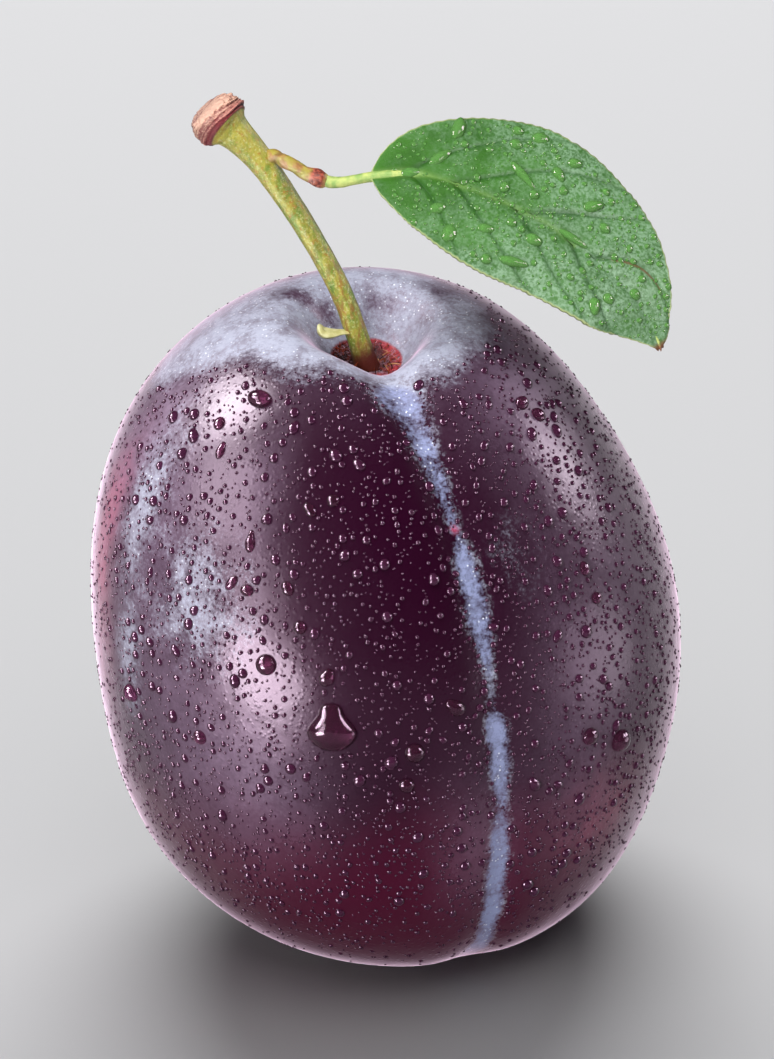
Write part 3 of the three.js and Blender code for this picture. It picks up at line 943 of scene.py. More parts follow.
def make_dew(settings):
    """All the dew on the fruit, as large drops, beads and fine drops."""
    water = water_finish("dew_on_skin", *LARGE_DROP_WATER)
    large = lay_on_skin(drop_mould(28, 18, 0.25), larger_drops())
    settle(large, "large_drops", None, water)
    water = water_finish("beads_on_skin", *BEAD_WATER)
    rows = scattered_drops(settings)
    small = rows[:, 2] < BEAD_LEAST
    settle(lay_on_skin(drop_mould(10, 7, 0.15), rows[~small]), "dew_beads", None, water)
    mist = water_finish("fine_dew_on_skin", *FINE_WATER)
    front = np.cos(rows[:, 1]) > 0
    for name, chosen in (("fine_dew_seam_side", small & front), ("fine_dew_back", small & ~front)):
        settle(lay_on_skin(drop_mould(7, 3, 0.02), rows[chosen]), name, None, mist)


# ---------- stalk with its side shoot ----------

STALK_LINE = [
    (0.5, -0.1, 42),
    (-0.05, 0, 44.1),
    (-0.63, 0.1, 46.6),
    (-1.55, 0.4, 49.75),
    (-3.46, 0.9, 54),
    (-4.7, 1.2, 56.35),
    (-6.1, 1.5, 58.8),
    (-7.25, 1.7, 60.5),
    (-8.3, 1.8, 61.75),
    (-9.3, 1.95, 62.8),
    (-10.0, 2.05, 63.75),
]
# Radius and distance along: slim at the foot, then a flare into the woody knob.
STALK_OUTLINE = [
    (0.5, 0),
    (0.95, 0.3),
    (0.88, 1.8),
    (0.75, 4),
    (0.75, 8),
    (0.76, 12),
    (0.84, 17),
    (0.95, 19.5),
    (1.13, 21.2),
    (1.25, 21.9),
    (1.34, 22.15),
    (1.72, 22.4),
    (1.9, 22.8),
    (1.96, 23.3),
    (1.86, 23.8),
    (1.6, 24.2),
    (1.1, 24.45),
    (0.4, 24.5),
]
SHOOT_LINE = [
    (-6.6, 1.6, 59.5),
    (-5.65, 1.4, 59.85),
    (-5, 0.85, 59.8),
    (-4.3, 0.5, 59.5),
    (-3.45, 0.2, 59),
    (-2.45, 0, 58.55),
    (-1.95, -0.08, 58.37),
]
SHOOT_OUTLINE = [
    (0.3, 0),
    (0.56, 0.2),
    (0.55, 1.0),
    (0.5, 1.35),
    (0.4, 1.6),
    (0.5, 1.9),
    (0.5, 2.3),
    (0.46, 3.3),
    (0.5, 4.1),
    (0.66, 4.5),
    (0.66, 5.0),
    (0.45, 5.4),
    (0.1, 5.5),
]
LIMB_SHRINK = 0.975  # what smoothing leaves of a limb's radius
TONGUE = math.radians(26)  # the side on which the green runs furthest up into the knob
COLLAR_AT, COLLAR_SLANT = 22.2, 0.9  # where the knob starts along the stalk, and how aslant
STREAK_BROWN = (0.2, 0.075, 0.02, 1)
FRECKLE = (0.45, 0.45, 0.22, 1)
FOOT_BROWN = (0.085, 0.014, 0.008, 1)
# Dark red of the knob's creases, partly painted shade in them.
CREASE_RED_AND_SHADE = (0.11, 0.008, 0.013, 1)
COLLAR_RED = (0.07, 0.008, 0.01, 1)
# Pale of the knob's ridges and far end, partly a painted highlight.
KNOB_PALE_AND_HIGHLIGHT = (0.45, 0.26, 0.19, 1)
BARK_YELLOW = (0.24, 0.195, 0.024, 1)
BARK_ORANGE = (0.24, 0.115, 0.035, 1)
BARK_CREASE = (0.16, 0.09, 0.03, 1)
BUD_DARK = (0.08, 0.007, 0.005, 1)
BUD_RED = (0.27, 0.055, 0.03, 1)


def bend_along(piece, line):
    """Bends a piece that stands on +Z along a line of close points in millimetres."""
    path = bpy.data.curves.new("bend", "CURVE")
    path.dimensions = "3D"
    spline = path.splines.new("POLY")
    spline.points.add(len(line) - 1)
    for point, at in zip(spline.points, line):
        point.co = (*(np.array(at) * MM), 1)
    guide = bpy.data.objects.new("bend", path)
    bpy.context.scene.collection.objects.link(guide)
    bpy.context.view_layer.update()
    apply_modifier(piece, "CURVE", object=guide, deform_axis="POS_Z")
    bpy.data.objects.remove(guide)


def draw_limb(line, outline, sides, levels, relief):
    """Draws a limb ring by ring from a circle, smooths it, gives it relief and bends it.

    relief(angle, distance, points) is how far each point stands out, in millimetres.
    """
    first, start = outline[0]
    limb = add(
        bpy.ops.mesh.primitive_circle_add,
        vertices=sides,
        radius=first * MM / LIMB_SHRINK,
        fill_type="NGON",
        location=(0, 0, start * MM),
    )
    bpy.ops.object.transform_apply(location=True, rotation=False, scale=False)
    bpy.ops.object.mode_set(mode="EDIT")
    bpy.ops.mesh.select_all(action="SELECT")
    for (radius, distance), (wider, further) in zip(outline, outline[1:]):
        bpy.ops.mesh.extrude_region_move(
            MESH_OT_extrude_region={"use_normal_flip": False},
            TRANSFORM_OT_translate={"value": (0, 0, (further - distance) * MM)},
        )
        scale = wider / radius
        bpy.ops.transform.resize(value=(scale, scale, 1), center_override=(0, 0, further * MM))
    bpy.ops.mesh.select_all(action="SELECT")
    bpy.ops.mesh.normals_make_consistent(inside=False)
    bpy.ops.object.mode_set(mode="OBJECT")
    apply_modifier(limb, "SUBSURF", levels=levels, render_levels=levels)
    points = corners(limb) / MM
    angle = np.arctan2(points[:, 1], points[:, 0])
    distance = points[:, 2].copy()
    radius = np.hypot(points[:, 0], points[:, 1])
    out = points * (1, 1, 0) / np.maximum(radius, 1e-6)[:, None]
    rise = relief(angle, distance, points) * np.minimum(radius / 0.25, 1)
    reshape(limb, points + out * rise[:, None])
    mark(limb, "distance", distance)
    mark(limb, "angle", angle)
    bend_along(limb, smooth_line(line))
    return limb


def past_collar(angle, distance):
    """How far past the slanting edge of the woody knob a point is."""
    return distance - COLLAR_AT - COLLAR_SLANT * np.cos(angle - TONGUE)


def wrinkles(angle, collar):
    """Wrinkles that run round the knob alongside its edge, from -1 to 1."""
    rings = np.stack([0.5 * np.cos(angle), 0.5 * np.sin(angle), 4.2 * collar], -1)
    return rough(rings, 0.9, 2) + 0.6 * rough(rings, 0.4, 8)


def stalk_relief(angle, distance, points):
    """Faint ribs down the stalk, lumps, and deep wrinkles round the woody knob."""
    ribs = 0.022 * np.cos(3 * angle) + 0.012 * np.cos(11 * angle + 0.3 * distance)
    lumps = 0.03 * rough(points, 0.9) + 0.012 * rough(points, 0.3, 5)
    collar = past_collar(angle, distance)
    woody = smoothstep(collar, 0, 0.2)
    tongue = -0.42 * np.maximum(np.cos(angle - TONGUE), 0) ** 2 * hump(distance, 22.55, 0.4)
    jagged = 0.22 * smoothstep(distance, 23.7, 24.1) * rough(points, 0.28, 4)
    folds = woody * (0.17 * wrinkles(angle, collar) + 0.06)
    return ribs * (1 - woody) + lumps + folds + tongue + jagged


def shoot_relief(angle, distance, points):
    """A rough bark with a lumpy bud at the end."""
    bud = smoothstep(distance, 4.1, 4.5)
    bark = 0.035 * rough(points, 0.5, 3) + 0.025 * rough(points, 0.2, 6)
    twist = 0.03 * np.sin(3 * angle + 4 * distance)
    return bark + twist + bud * 0.05 * rough(points, 0.4, 9)


def stalk_finish(settings):
    """Green stalk turning yellow, mottled brown and dark at the foot, with a pink woody knob, dark
    red in its creases and pale on its ridges, partly painted shade and highlight.
    """
    f = Finish("stalk")
    way = f.read("distance")
    streaks = f.clouds(0.55, detail=5, roughness=0.65, stretch=(1, 1, 0.45))
    turning = f.plus(streaks, f.span(way, 15, 22, 0, 0.08))
    base = f.mix(f.span(turning, 0.34, 0.68), settings.green, settings.yellow)
    mottles = f.span(f.clouds(0.32, detail=5, roughness=0.7), 0.52, 0.64)
    base = f.mix(f.times(mottles, 0.65), base, settings.brown)
    freckles = f.span(f.clouds(0.2, detail=4, roughness=0.7), 0.5, 0.66, 0, 0.6)
    base = f.mix(freckles, base, FRECKLE)
    worn = f.span(f.clouds(0.6, detail=4, roughness=0.6, stretch=(1, 1, 0.3)), 0.48, 0.6)
    base = f.mix(f.times(worn, f.span(way, 6, 14, 0.75, 0.1)), base, STREAK_BROWN)
    foot = f.span(f.plus(way, f.times(f.clouds(0.8), 2)), 3.7, 5.3, 1, 0)
    base = f.mix(foot, base, FOOT_BROWN)

    collar = f.read("collar")
    knob = f.span(collar, -0.05, 0.1)
    grain = f.less(f.clouds(0.22, detail=5, roughness=0.7, stretch=(1, 1, 2)), 0.5)
    creases = f.plus(f.times(f.read("wrinkle"), 1.6), f.times(grain, 4.5))
    # Dark red in the creases is partly painted shade.
    wood = f.mix(f.span(creases, -0.1, 0.9), CREASE_RED_AND_SHADE, settings.knob)
    # Paler towards the knob's end and on its ridges, partly a painted highlight.
    paler = f.span(f.plus(collar, f.times(f.clouds(0.7), 0.8)), 0.75, 1.7, 0, 0.9)
    paler = f.times(paler, f.span(creases, -0.9, 0.3, 0.1, 1))
    wood = f.mix(paler, wood, KNOB_PALE_AND_HIGHLIGHT)
    wood = f.mix(f.span(collar, 0.35, 0.0, 0, 0.75), wood, COLLAR_RED)
    bumps = f.relief(f.clouds(0.35, detail=4), 0.07)
    return f.surface(
        base_color=f.mix(knob, base, wood),
        roughness=f.span(knob, 0, 1, 0.5, 0.75),
        specular_ior_level=0.3,
        normal=f.relief(f.clouds(0.12, detail=2), 0.02, bumps),
    )


def shoot_finish():
    """Yellow bark gone pink and orange above, with a red-brown bud."""
    f = Finish("shoot")
    way = f.read("distance")
    base = f.mix(f.span(f.clouds(0.6, detail=4), 0.4, 0.62), BARK_YELLOW, BARK_ORANGE)
    crease = f.times(f.span(way, 1.35, 1.6), f.span(way, 1.65, 1.95, 1, 0))
    base = f.mix(f.times(crease, 0.8), base, BARK_CREASE)
    scales = f.mix(f.span(f.clouds(0.25, detail=4), 0.4, 0.6), BUD_DARK, BUD_RED)
    bud = f.times(f.span(way, 3.95, 4.3), f.span(way, 5.0, 5.3, 1, 0))
    base = f.mix(bud, base, scales)
    bumps = f.relief(f.clouds(0.25, detail=4), 0.06)
    return f.surface(base_color=base, roughness=0.5, normal=bumps)


def make_stalk(settings):
    """The stalk and its side shoot, joined as they grew."""
    stalk = draw_limb(STALK_LINE, STALK_OUTLINE, 20, 3, stalk_relief)
    shoot = draw_limb(SHOOT_LINE, SHOOT_OUTLINE, 12, 3, shoot_relief)
    collar = past_collar(marked(stalk, "angle"), marked(stalk, "distance"))
    mark(stalk, "collar", collar)
    mark(stalk, "wrinkle", wrinkles(marked(stalk, "angle"), collar))
    stalk.data.materials.append(stalk_finish(settings))
    shoot.data.materials.append(shoot_finish())
    join(stalk, shoot)
    settle(stalk, "stalk_and_shoot", "stalk", None, "stem")


# ---------- bract ----------

BRACT_LINE = [
    (-0.7, -0.1, 46.7),
    (-2, -0.5, 46.9),
    (-2.45, -0.65, 46.95),
    (-2.95, -0.7, 47.1),
    (-3.2, -0.6, 47.6),
]
BRACT_OUTLINE = [
    (0.22, 0),
    (0.36, 0.2),
    (0.4, 1.1),
    (0.62, 1.6),
    (0.88, 2.1),
    (0.82, 2.6),
    (0.45, 2.95),
    (0.1, 3.0),
]
BRACT_FLATNESS = 0.75
BRACT_LIGHT = (0.48, 0.45, 0.24, 1)
BRACT_FOOT = (0.45, 0.28, 0.06, 1)


def bract_relief(angle, distance, points):
    """Flattened to a thin scale with a slightly uneven face."""
    radius = np.hypot(points[:, 0], points[:, 1])
    flat = BRACT_FLATNESS * np.abs(np.sin(angle))
    return -radius * flat + 0.03 * rough(points, 0.35)


def bract_finish(settings):
    """Dry, pale yellow, and browner at its foot."""
    f = Finish("bract")
    base = f.mix(f.span(f.clouds(0.5, detail=4), 0.35, 0.7), settings.bract, BRACT_LIGHT)
    base = f.mix(f.span(f.read("distance"), 0.9, 0.2, 0, 0.6), base, BRACT_FOOT)
    return f.surface(
        base_color=base, roughness=0.5, normal=f.relief(f.clouds(0.2, detail=3), 0.03)
    )


def make_bract(settings):
    """The dry bract at the stalk's foot."""
    bract = draw_limb(BRACT_LINE, BRACT_OUTLINE, 12, 3, bract_relief)
    settle(bract, "dry_bract", "bract", bract_finish(settings), "bract")


# ---------- leaf ----------

LEAF_ROWS = 210
LEAF_COLUMNS = 100
MIDRIB_LINE = smooth_line(
    [
        (1.05, -0.5, 58.85),
        (4.5, -1, 58.95),
        (9.15, -2.2, 57.5),
        (13.1, -3.4, 55.6),
        (16.1, -4.5, 53.2),
        (18.8, -5.4, 50.6),
        (20.45, -6.2, 46.9),
    ],
    60,
)
LEAF_LENGTH = 25.1
# The blade's edges as distance along the midrib and half-width: the upper one, then the lower.
UPPER_HALF = smooth_line(
    [
        (0, 0.12),
        (0.75, 1.45),
        (2.5, 3.2),
        (5.0, 5.1),
        (7.5, 6.3),
        (10.0, 6.8),
        (12.5, 6.65),
        (15.0, 6.15),
        (17.6, 5.65),
        (19.3, 4.8),
        (21.3, 3.05),
        (23.1, 1.75),
        (24.3, 0.95),
        (25.1, 0.12),
    ]
)
LOWER_HALF = smooth_line(
    [
        (0, 0.12),
        (0.75, 1.65),
        (2.5, 3.5),
        (5.0, 4.45),
        (7.5, 5.2),
        (10.0, 5.6),
        (12.5, 5.45),
        (15.0, 5.0),
        (17.6, 4.45),
        (20.1, 4.0),
        (21.6, 3.4),
        (23.1, 2.1),
        (24.3, 0.9),
        (25.1, 0.12),
    ]
)
SKYWARD = unit(np.array([0.15, -0.62, 0.77]))  # the way that the blade's upper face looks
FULL = 6.5  # a half-width at which the blade is at its fullest
TEETH = 42
BLADE_LIGHT = (0.028, 0.105, 0.009, 1)
# Dark green along the veins, partly painted shade in their grooves.
VEIN_DARK_AND_SHADE = (0.006, 0.035, 0.004, 1)
MARGIN_PALE = (0.24, 0.28, 0.12, 1)
CRACK_BROWN = (0.12, 0.06, 0.03, 1)
TIP_BROWN = (0.13, 0.05, 0.02, 1)
PETIOLE_PALE = (0.36, 0.4, 0.12, 1)
PETIOLE_END = (0.2, 0.08, 0.04, 1)
# Each side vein: 1 for the upper half or -1 for the lower, start along the midrib, lean and curve.
VEINS = [
    (1, 0.11, 0.12, 0.25),
    (1, 0.24, 0.4, 0.0),
    (1, 0.46, 0.4, -0.12),
    (1, 0.67, 0.28, 0.0),
    (-1, 0.1, 0.24, 0.0),
    (-1, 0.24, 0.25, 0.12),
    (-1, 0.42, 0.32, 0.05),
    (-1, 0.6, 0.3, 0.0),
]


def half_width(along, upper):
    """The blade's half-width at shares of its length."""
    way = along * LEAF_LENGTH
    return np.where(upper, np.interp(way, *UPPER_HALF.T), np.interp(way, *LOWER_HALF.T))


def blade_frame(along):
    """The midrib's points, and the ways to the upper margin, up from the blade and along it."""
    step = 0.004
    after = along_line(MIDRIB_LINE, np.minimum(along + step, 1))
    before = along_line(MIDRIB_LINE, np.maximum(along - step, 0))
    ahead = unit(after - before)
    up = unit(SKYWARD - (ahead @ SKYWARD)[..., None] * ahead)
    return along_line(MIDRIB_LINE, along), np.cross(up, ahead), up, ahead


def near_veins(along, across):
    """1 on the middle of a side vein, dying away on both sides."""
    out = np.abs(across)
    width = half_width(along, across > 0)
    nearest = np.zeros_like(along)
    for side, start, lean, curve in VEINS:
        line = start + lean * out + curve * out**2
        slope = (lean + 2 * curve * out) * LEAF_LENGTH / width
        distance = np.abs(along - line) * LEAF_LENGTH / np.sqrt(1 + slope**2)
        thick = 0.26 - 0.14 * out
        strength = hump(distance, 0, thick) * (np.sign(across) == side) * (1 - 0.5 * out)
        nearest = np.maximum(nearest, strength)
    return nearest


def blade(along, across):
    """Points of the blade: creased along its midrib and veins, and waved at the margin."""
    centre, sideways, up, _ = blade_frame(along)
    out = np.abs(across) * half_width(along, across > 0)
    teeth = 0.035 * np.sin(2 * np.pi * TEETH * along) * np.abs(across) ** 14
    part = out / FULL
    wave = 0.2 * part**2 * np.sin(15 * along + np.where(across > 0, 0.6, 2.4))
    groove = 0.22 * hump(out, 0, 0.42) * (1 - 0.6 * along)
    rise = 0.35 * part - 0.9 * part**2 + wave - groove - 0.16 * near_veins(along, across)
    return centre + sideways * (np.sign(across) * (out + teeth))[..., None] + up * rise[..., None]


def leaf_finish(settings):
    """Green blade with dark veins, partly painted shade in their grooves, a pale midrib and margin,
    and a wet film further out that is partly painted sheen.
    """
    f = Finish("leaf_blade")
    base = f.mix(f.span(f.clouds(3, detail=4), 0.3, 0.7), settings.blade, BLADE_LIGHT)
    # The wet film: partly water, partly painted sheen, paler further out and spotted.
    drift = f.times(f.less(f.clouds(1.6, detail=5, roughness=0.65), 0.5), 1.2)
    wet_and_painted_sheen = f.span(f.plus(f.read("film_and_painted_highlight"), drift), 0.1, 1.3)
    specks = f.span(f.clouds(0.2, detail=3, roughness=0.7), 0.38, 0.6, 0.3, 1)
    spots = f.span(f.cells(0.65), 0.14, 0.32, 0.3, 1)
    base = f.mix(f.times(f.times(wet_and_painted_sheen, specks), spots), base, settings.film_and_painted_highlight)
    # Darker along the veins, partly painted shade in their grooves.
    base = f.mix(f.times(f.read("vein"), 0.65), base, VEIN_DARK_AND_SHADE)
    base = f.mix(f.read("rib"), base, settings.pale)
    base = f.mix(f.span(f.read("margin"), 0.3, 1.0), base, MARGIN_PALE)
    cracked = f.times(f.read("crack"), f.span(f.clouds(0.4, detail=3), 0.35, 0.5))
    base = f.mix(cracked, base, CRACK_BROWN)
    base = f.mix(f.read("tip"), base, TIP_BROWN)
    grain = f.relief(f.clouds(0.18, detail=3), 0.03)
    return f.surface(base_color=base, roughness=0.38, specular_ior_level=0.5, normal=grain)


def petiole_finish(settings):
    """Pale yellow-green leaf stalk, brown at the leaf's tip."""
    f = Finish("leaf_stalk")
    base = f.mix(f.span(f.clouds(0.8, detail=3), 0.35, 0.65), settings.pale, PETIOLE_PALE)
    base = f.mix(f.span(f.read("distance"), 28.1, 28.6), base, PETIOLE_END)
    return f.surface(base_color=base, roughness=0.42, normal=f.relief(f.clouds(0.3), 0.03))


PETIOLE_OUTLINE = [
    (0.3, 0),
    (0.47, 0.15),
    (0.45, 1),
    (0.37, 2.3),
    (0.36, 3.2),
    (0.42, 5),
    (0.4, 8),
    (0.36, 14),
    (0.26, 22),
    (0.18, 27),
    (0.14, 28.3),
    (0.05, 28.9),
]


def petiole_line():
    """The leaf stalk, which runs on under the blade as its midrib."""
    centre, _, up, _ = blade_frame(np.array([0.03, 0.15, 0.35, 0.55, 0.75, 0.9]))
    under = centre - up * np.array([0.22, 0.5, 0.52, 0.48, 0.44, 0.4])[:, None]
    foot = [(-2.75, 0.02, 58.72), (-1.75, -0.1, 58.32), (-0.9, -0.2, 58.3), (-0.03, -0.3, 58.48)]
    return smooth_line([*foot, *under.tolist(), (20.4, -6.2, 46.9), (20.4, -6.25, 46.15)])


def petiole_relief(angle, distance, points):
    """Faint lumps all along."""
    return 0.02 * rough(points, 0.5)


def make_leaf(settings):
    """The leaf: a sheet drawn to the blade's outline, thickened, and joined to its stalk."""
    grid = {"x_subdivisions": LEAF_COLUMNS, "y_subdivisions": LEAF_ROWS, "size": 2}
    sheet = add(bpy.ops.mesh.primitive_grid_add, **grid)
    at = corners(sheet)
    across = np.sign(at[:, 0]) * np.abs(at[:, 0]) ** 1.1
    along = (at[:, 1] + 1) / 2
    reshape(sheet, blade(along, across))
    out = np.abs(across) * half_width(along, across > 0)
    mark(sheet, "vein", near_veins(along, across))
    mark(sheet, "tip", smoothstep(along, 0.975, 0.992))
    paling = 1 - 0.75 * smoothstep(along, 0.08, 0.2)
    mark(sheet, "rib", hump(out, 0, 0.28) * paling * (along < 0.62))
    mark(sheet, "margin", smoothstep(half_width(along, across > 0) - out, 0.22, 0.0))
    # Wet film and painted sheen, thicker further out.
    mark(sheet, "film_and_painted_highlight", 0.24 + 0.66 * smoothstep(along + 0.25 * np.abs(across), 0.1, 0.9))
    crack = hump(along - (0.68 + 0.28 * np.abs(across)), 0, 0.006) * smoothstep(across, 0.1, 0.2)
    mark(sheet, "crack", crack * smoothstep(0.72 - across, 0, 0.1))
    apply_modifier(sheet, "SOLIDIFY", thickness=settings.thick, offset=0)
    sheet.data.materials.append(leaf_finish(settings))
    stalk = draw_limb(petiole_line(), PETIOLE_OUTLINE, 10, 3, petiole_relief)
    stalk.data.materials.append(petiole_finish(settings))
    join(sheet, stalk)
    settle(sheet, "leaf_and_stalk", "leaf", None, "leaf")


LEAF_DROP_LIFT = 0.12
LEAF_DROP_TAIL = 0.2
# The drops on the blade: along, across, width, length, height, slant.
LEAF_DROPS = [
    (0.2, 0.81, 1.9, 1.0, 0.45, 0),
    (0.18, 0.32, 0.9, 1.9, 0.38, 0.9),
    (0.11, 0.03, 0.9, 1.5, 0.38, 0.2),
    (0.4, 0.36, 0.7, 2.6, 0.38, -0.5),
    (0.48, 0.56, 0.8, 1.3, 0.38, -0.6),
    (0.59, 0.51, 0.9, 1.6, 0.38, 0.9),
    (0.28, -0.75, 1.5, 1.1, 0.38, 0),
    (0.22, -0.5, 0.9, 1.3, 0.38, 0.6),
    (0.37, -0.45, 0.8, 1.3, 0.34, 0.3),
    (0.49, -0.7, 0.75, 2.2, 0.38, 0.3),
    (0.51, -0.3, 0.95, 1.3, 0.38, 0.2),
    (0.35, 0.69, 0.8, 1.0, 0.34, 0),
    (0.4, 0.86, 1.0, 1.3, 0.4, 0.3),
    (0.34, 0.87, 0.8, 0.9, 0.34, 0),
    (0.5, 0.78, 0.8, 1.1, 0.34, 0.4),
    (0.37, 0.15, 0.9, 0.7, 0.3, 0),
    (0.45, 0.21, 0.75, 0.75, 0.3, 0),
    (0.51, 0.42, 0.75, 0.7, 0.3, 0),
    (0.41, -0.82, 0.8, 0.8, 0.3, 0),
    (0.43, -0.23, 0.7, 0.8, 0.3, 0),
    (0.65, 0.4, 0.75, 0.9, 0.3, 0),
    (0.76, -0.66, 0.9, 1.3, 0.38, -0.9),
    (0.78, -0.4, 0.8, 0.9, 0.3, 0),
    (0.83, 0.04, 0.8, 0.9, 0.34, 0),
    (0.6, 0.04, 0.6, 2.4, 0.3, 0.1),
]


def make_leaf_dew(settings):
    """The drops that lie on the blade, and fine ones strewn between them."""
    rng = np.random.default_rng(settings.seed + 1)
    fine = settings.on_leaf
    along = rng.uniform(0.06, 0.96, fine)
    across = rng.uniform(-0.94, 0.94, fine)
    wide = 0.17 + 0.45 * rng.uniform(0, 1, fine) ** 3
    wanted = rng.uniform(0, 1, fine) < half_width(along, across > 0) / FULL
    slant = rng.normal(0, 1, fine)
    extra = np.stack([along, across, wide, wide * 1.15, 0.36 * wide, slant], -1)[wanted]
    given = np.array(LEAF_DROPS)
    places, taken = (blade(*rows[:, :2].T) for rows in (extra, given))
    kept = keep_apart(places, extra[:, 2] / 2, taken, given[:, 3] / 2, 1.0)
    water = water_finish("dew_on_leaf", *LEAF_WATER)
    for name, rows, mould in (("leaf_drops", given, (24, 14)), ("leaf_dew", extra[kept], (8, 6))):
        along, across, *sizes = rows.T
        _, _, up, ahead = blade_frame(along)
        at = blade(along, across) + up * LEAF_DROP_LIFT
        tails = np.full(len(rows), LEAF_DROP_TAIL)
        laid = lay_drops(drop_mould(*mould, 0.2), at, up, ahead, *sizes, tails)
        settle(laid, name, None, water)


# ---------- stage ----------

EYE_DISTANCE = 600
EYE_HEIGHT = math.radians(28)
EYE_ROLL = math.radians(3.5)
EYE_LENS = 286
AIM_RIGHT = 0.29
AIM_UP = 7.06
SENSOR_WIDTH = 36
NEAREST_SEEN = 0.01
FLOOR_RADIUS = 3
LEFT_TINT = (1, 1.1, 1.0)  # of the fruit's lamps on the left, against the mauve of its gloss
# Each lamp: name, place, width and height in metres, watts, what it lights, and whether it shows in
# the gloss alone, as the glints do, or in the body colour alone, as the big soft boxes do.
LAMPS = [
    ("key_glint", (-0.359, 0.131, 0.419), 0.23, 0.28, 7.9, "fruit", "gloss"),
    ("key_halo", (-0.437, -0.142, 0.285), 0.32, 0.3, 3.9, "fruit", "gloss"),
    ("left_glint", (-0.385, -0.32, 0.09), 0.2, 0.2, 1.45, "fruit", "gloss"),
    ("left_card", (-0.058, -0.062, 0.0145), 0.04, 0.028, 0.12, "fruit", "gloss"),
    ("right_glint", (0.457, 0.16, 0.162), 0.16, 0.17, 1.7, "fruit", "gloss"),
    ("right_card", (0.07, -0.018, 0.014), 0.045, 0.028, 0.015, "fruit", "gloss"),
    ("soft_front", (-0.2, -0.62, 0.2), 0.6, 0.6, 7.5, "plum", "body"),
    ("soft_top", (-0.05, -0.1, 0.6), 0.5, 0.5, 6.0, "plum", "body"),
    ("leaf_glint", (0.33, -0.39, 0.32), 0.3, 0.3, 1.3, "leaf", "gloss"),
    ("dew_left", (-0.43, -0.05, 0.24), 0.2, 0.26, 3.4, "dew", "gloss"),
    ("dew_right", (0.43, -0.05, 0.24), 0.2, 0.26, 2.8, "dew", "gloss"),
    ("floor_front", (0.03, -0.3, 0.8), 0.9, 0.9, 2.5, "floor", "body"),
    ("floor_back", (0.03, 0.6, 0.7), 0.9, 0.9, 11.0, "floor", "body"),
]


def make_floor(settings):
    """The plain pale floor."""
    floor = add(
        bpy.ops.mesh.primitive_circle_add, vertices=96, radius=FLOOR_RADIUS, fill_type="NGON"
    )
    floor.name = "floor"
    f = Finish("floor")
    plain = f.surface(base_color=settings.floor, roughness=0.8, specular_ior_level=0.2)
    floor.data.materials.append(plain)
    floor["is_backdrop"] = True
    return floor


def make_sky(settings):
    """Light from all round, which the gloss doesn't show."""
    world = bpy.data.worlds.new("studio")
    world.use_nodes = True
    background = world.node_tree.nodes["Background"]
    background.inputs["Color"].default_value = settings.sky
    background.inputs["Strength"].default_value = settings.sky_strength
    world.cycles_visibility.glossy = False
    bpy.context.scene.world = world


def lit_groups(floor):
    """A collection for each group of pieces that lamps light."""
    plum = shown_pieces()
    leaf = [piece for piece in plum if piece.name.startswith("leaf")]
    groups = {
        "plum": plum,
        "leaf": leaf,
        "dew": [piece for piece in plum if "dew" in piece.name or "drops" in piece.name],
        "floor": [floor],
        "fruit": [piece for piece in plum if piece not in leaf],
    }
    receivers = {}
    for name, group in groups.items():
        receivers[name] = bpy.data.collections.new(name)
        for piece in group:
            receivers[name].objects.link(piece)
    return receivers


def make_lamps(settings, middle, receivers):
    """The soft lamps, each turned towards the fruit's middle."""
    for name, at, width, length, watts, lights, seen_in in LAMPS:
        lamp = add(bpy.ops.object.light_add, type="AREA", location=at)
        lamp.name = name
        lamp.rotation_euler = (Vector(at) - middle).to_track_quat("Z", "Y").to_euler()
        lamp.visible_camera = False
        lamp.data.shape = "ELLIPSE"
        lamp.data.size = width
        lamp.data.size_y = length
        lamp.data.energy = watts * settings.lamps
        if lights == "fruit" and at[0] < 0:
            lamp.data.color = LEFT_TINT
        lamp.visible_diffuse = seen_in == "body"
        lamp.visible_glossy = seen_in == "gloss"
        lamp.visible_transmission = seen_in == "gloss"
        lamp.light_linking.receiver_collection = receivers[lights]


def make_camera(middle):
    """The camera, high in front and rolled a little."""
    right = Vector((1, 0, 0))
    up = Vector((0, math.sin(EYE_HEIGHT), math.cos(EYE_HEIGHT)))
    eye = middle + Vector((0, -math.cos(EYE_HEIGHT), math.sin(EYE_HEIGHT))) * EYE_DISTANCE * MM
    rolled_right = right * math.cos(EYE_ROLL) - up * math.sin(EYE_ROLL)
    rolled_up = right * math.sin(EYE_ROLL) + up * math.cos(EYE_ROLL)
    back = (eye - middle - (rolled_right * AIM_RIGHT + rolled_up * AIM_UP) * MM).normalized()
    rolled_right = rolled_up.cross(back).normalized()
    rolled_up = back.cross(rolled_right)
    camera = add(bpy.ops.object.camera_add)
    camera.name = "camera"
    turned = Matrix((rolled_right, rolled_up, back)).transposed().to_4x4()
    camera.matrix_world = Matrix.Translation(eye) @ turned
    camera.data.lens = EYE_LENS
    camera.data.sensor_width = SENSOR_WIDTH
    camera.data.clip_start = NEAREST_SEEN
    bpy.context.scene.camera = camera


def make_stage(settings):
    """A plain pale floor, soft lamps round the fruit, light from all round and the camera."""
    middle = Vector((0, 0, MIDDLE)) * MM
    floor = make_floor(settings)
    make_sky(settings)
    make_lamps(settings, middle, lit_groups(floor))
    make_camera(middle)
    bpy.context.scene.view_settings.view_transform = "Standard"


# ---------- operators, panel and running ----------


class PLUM_OT_fruit(bpy.types.Operator):
    """Makes the fruit's skin with its seam and stalk cavity"""

    bl_idname = "plum.fruit"
    bl_label = "Fruit"

    def execute(self, context):
        make_fruit(context.scene.plum_fruit)
        return {"FINISHED"}


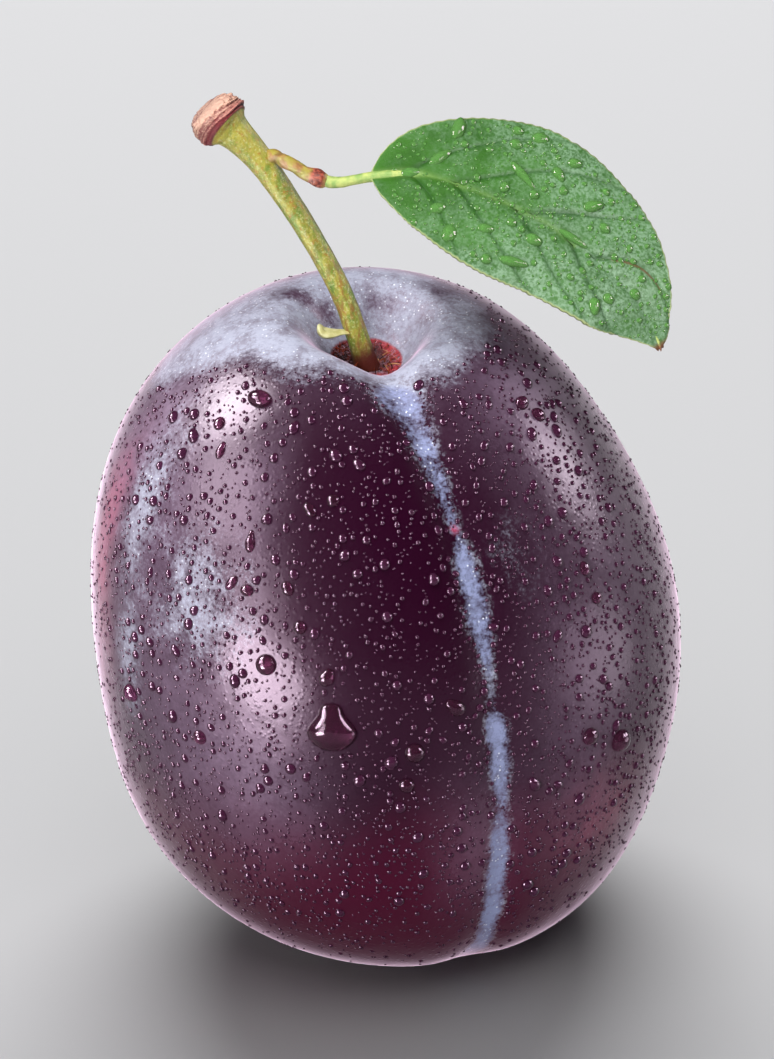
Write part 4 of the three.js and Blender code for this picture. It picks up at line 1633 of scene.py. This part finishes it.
class PLUM_OT_fibres(bpy.types.Operator):
    """Makes the torn fibres round the stalk's foot"""

    bl_idname = "plum.fibres"
    bl_label = "Scar fibres"

    def execute(self, context):
        make_fibres(context.scene.plum_dew.seed)
        return {"FINISHED"}


class PLUM_OT_dew(bpy.types.Operator):
    """Makes the dew on the fruit"""

    bl_idname = "plum.dew"
    bl_label = "Dew on the fruit"

    def execute(self, context):
        make_dew(context.scene.plum_dew)
        return {"FINISHED"}


class PLUM_OT_stalk(bpy.types.Operator):
    """Makes the stalk with its side shoot"""

    bl_idname = "plum.stalk"
    bl_label = "Stalk and shoot"

    def execute(self, context):
        make_stalk(context.scene.plum_stalk)
        return {"FINISHED"}


class PLUM_OT_bract(bpy.types.Operator):
    """Makes the dry bract at the stalk's foot"""

    bl_idname = "plum.bract"
    bl_label = "Bract"

    def execute(self, context):
        make_bract(context.scene.plum_stalk)
        return {"FINISHED"}


class PLUM_OT_leaf(bpy.types.Operator):
    """Makes the leaf with its stalk and veins"""

    bl_idname = "plum.leaf"
    bl_label = "Leaf"

    def execute(self, context):
        make_leaf(context.scene.plum_leaf)
        return {"FINISHED"}


class PLUM_OT_leaf_dew(bpy.types.Operator):
    """Makes the dew on the leaf"""

    bl_idname = "plum.leaf_dew"
    bl_label = "Dew on the leaf"

    def execute(self, context):
        make_leaf_dew(context.scene.plum_dew)
        return {"FINISHED"}


class PLUM_OT_stage(bpy.types.Operator):
    """Sets the floor, the lamps and the camera"""

    bl_idname = "plum.stage"
    bl_label = "Stage"

    def execute(self, context):
        make_stage(context.scene.plum_stage)
        return {"FINISHED"}


SETTINGS = {
    "plum_fruit": FruitSettings,
    "plum_dew": DewSettings,
    "plum_stalk": StalkSettings,
    "plum_leaf": LeafSettings,
    "plum_stage": StageSettings,
}
OPERATORS = (
    PLUM_OT_fruit,
    PLUM_OT_fibres,
    PLUM_OT_dew,
    PLUM_OT_stalk,
    PLUM_OT_bract,
    PLUM_OT_leaf,
    PLUM_OT_leaf_dew,
    PLUM_OT_stage,
)


class PLUM_PT_panel(bpy.types.Panel):
    """Lists the plum's settings and the operators that make its pieces"""

    bl_idname = "PLUM_PT_panel"
    bl_label = "Plum"
    bl_space_type = "VIEW_3D"
    bl_region_type = "UI"
    bl_category = "Plum"

    def draw(self, context):
        for name, group in SETTINGS.items():
            box = self.layout.box()
            for setting in group.__annotations__:
                box.prop(getattr(context.scene, name), setting)
        for operator in OPERATORS:
            self.layout.operator(operator.bl_idname)


def register():
    for cls in (*SETTINGS.values(), *OPERATORS, PLUM_PT_panel):
        bpy.utils.register_class(cls)
    for name, group in SETTINGS.items():
        setattr(bpy.types.Scene, name, PointerProperty(type=group))


def unregister():
    for name in SETTINGS:
        delattr(bpy.types.Scene, name)
    for cls in reversed((*SETTINGS.values(), *OPERATORS, PLUM_PT_panel)):
        bpy.utils.unregister_class(cls)


def main():
    """Makes the plum piece by piece, then the stage."""
    register()
    bpy.ops.plum.fruit()
    bpy.ops.plum.fibres()
    bpy.ops.plum.stalk()
    bpy.ops.plum.bract()
    bpy.ops.plum.leaf()
    bpy.ops.plum.dew()
    bpy.ops.plum.leaf_dew()
    bpy.ops.plum.stage()


if __name__ == "__main__":
    main()
